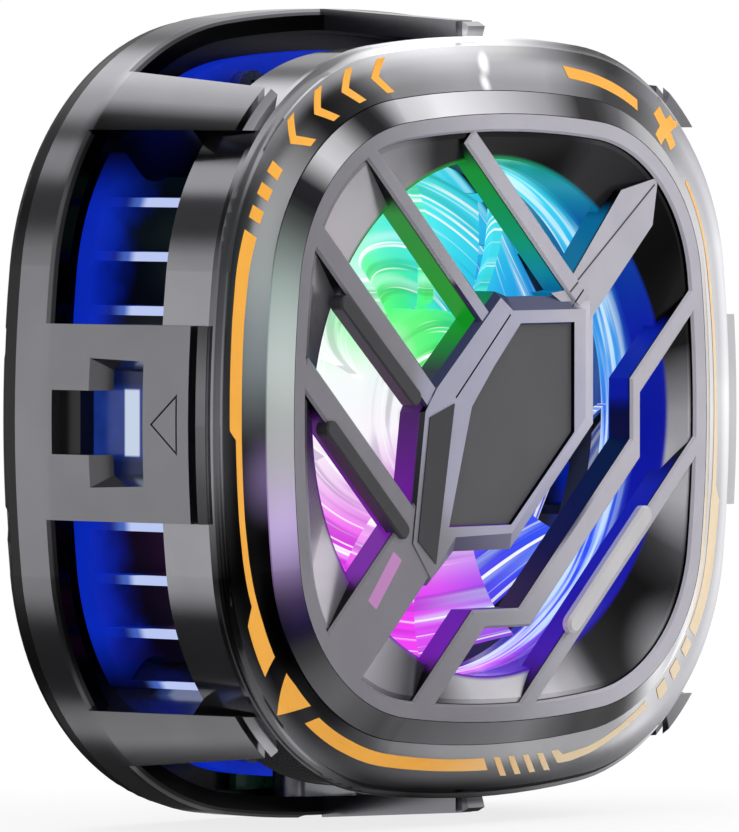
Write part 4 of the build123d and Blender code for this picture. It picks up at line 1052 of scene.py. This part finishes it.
def makeWorld():
    world = bpy.data.worlds.new("studio")
    bpy.context.scene.world = world
    world.use_nodes = True
    tree = world.node_tree
    tree.nodes.clear()
    path = Wire(tree).put("ShaderNodeLightPath")
    plain = path.put("ShaderNodeTexCoord", out="Generated")
    sockets = {
        "Vector": plain, "Scale": cardLight["wispScale"], "Detail": cardLight["wispDetail"], "Roughness": 0.5,
        "Distortion": cardLight["wispWarp"],
    }
    cloud = path.put("ShaderNodeTexNoise", {}, sockets, out="Color")
    push = path.vector("SUBTRACT", cloud, (0.5, 0.5, 0.5))
    push = path.vector("MULTIPLY", push, (cardLight["wisp"],) * 3)
    direction = path.vector("NORMALIZE", path.vector("ADD", plain, push))
    light = (cardLight["base"],) * 3 + (1.0,)
    for heading, rise, inner, outer, level in cards:
        turn, lift = math.radians(heading), math.radians(rise)
        card = (math.sin(turn) * math.cos(lift), -math.cos(turn) * math.cos(lift), math.sin(lift))
        near = path.vector("DOT_PRODUCT", direction, card, out="Value")
        cover = shade(near, math.cos(math.radians(outer)), math.cos(math.radians(inner)))
        light = blend(cover, light, (level,) * 3 + (1.0,))
    softLight = path.put(
        "ShaderNodeBackground", {}, {"Color": paint(studio["skyColour"]), "Strength": studio["sky"]})
    cardBack = path.put("ShaderNodeBackground", {}, {"Color": light, "Strength": 1.0})
    whiteBack = path.put("ShaderNodeBackground", {}, {"Color": white, "Strength": 1.0})
    glossy = path.output("Is Glossy Ray")
    surround = path.put("ShaderNodeMixShader", {}, {0: glossy, 1: softLight, 2: cardBack})
    seen = path.maths("MAXIMUM", path.output("Is Camera Ray"), path.output("Is Transmission Ray"))
    last = path.put("ShaderNodeMixShader", {}, {0: seen, 1: surround, 2: whiteBack})
    end = tree.nodes.new("ShaderNodeOutputWorld")
    tree.links.new(last.socket, end.inputs["Surface"])


# name: where it stands, its width and height in metres, and its power in watts
lamps = {
    "keyLamp": ((0.45, -0.42, 0.55), (0.5, 0.5), 3.0),
    "leftLamp": ((-0.75, -0.35, 0.18), (0.25, 0.9), 1.8),
    "topLamp": ((-0.1, 0.1, 0.8), (0.8, 0.35), 2.4),
    "rimLamp": ((0.55, 0.35, 0.2), (0.3, 0.6), 1.5),
}


def makeLamps():
    for name, (place, size, power) in lamps.items():
        data = bpy.data.lights.new(name, "AREA")
        data.shape = "RECTANGLE"
        data.size, data.size_y = size
        data.energy = power
        lamp = bpy.data.objects.new(name, data)
        lamp.location = place
        lamp.rotation_euler = (Vector(studio["aim"]) - Vector(place)).to_track_quat("-Z", "Y").to_euler()
        lamp.visible_glossy = False
        bpy.context.scene.collection.objects.link(lamp)


# The camera stands where the photograph was taken from: 46.6 degrees to the left and a little above
view = dict(
    azimuth=-0.8126, rise=0.0291, distance=1.0732, lens=547.2, sensor=36, near=0.05, far=50, aside=0.003153,
    down=0.000246, middle=(0, -0.007, 0))


def makeCamera():
    turn, rise = view["azimuth"], view["rise"]
    back = Vector((math.sin(turn) * math.cos(rise), -math.cos(turn) * math.cos(rise), math.sin(rise)))
    right = Vector((math.cos(turn), math.sin(turn), 0))
    up = back.cross(right)
    data = bpy.data.cameras.new("camera")
    data.lens = view["lens"]
    data.sensor_width = view["sensor"]
    data.clip_start = view["near"]
    data.clip_end = view["far"]
    camera = bpy.data.objects.new("camera", data)
    camera.location = Vector(view["middle"]) + back * view["distance"]
    aim = Vector(view["middle"]) + right * view["aside"] - up * view["down"]
    camera.rotation_euler = (aim - camera.location).to_track_quat("-Z", "Y").to_euler()
    bpy.context.scene.collection.objects.link(camera)
    bpy.context.scene.camera = camera


makeFloor()
makeWorld()
makeLamps()
makeCamera()
bpy.context.scene.view_settings.view_transform = "Standard"
print("studio:", len(lamps), "lamps and", len(cards), "cards")
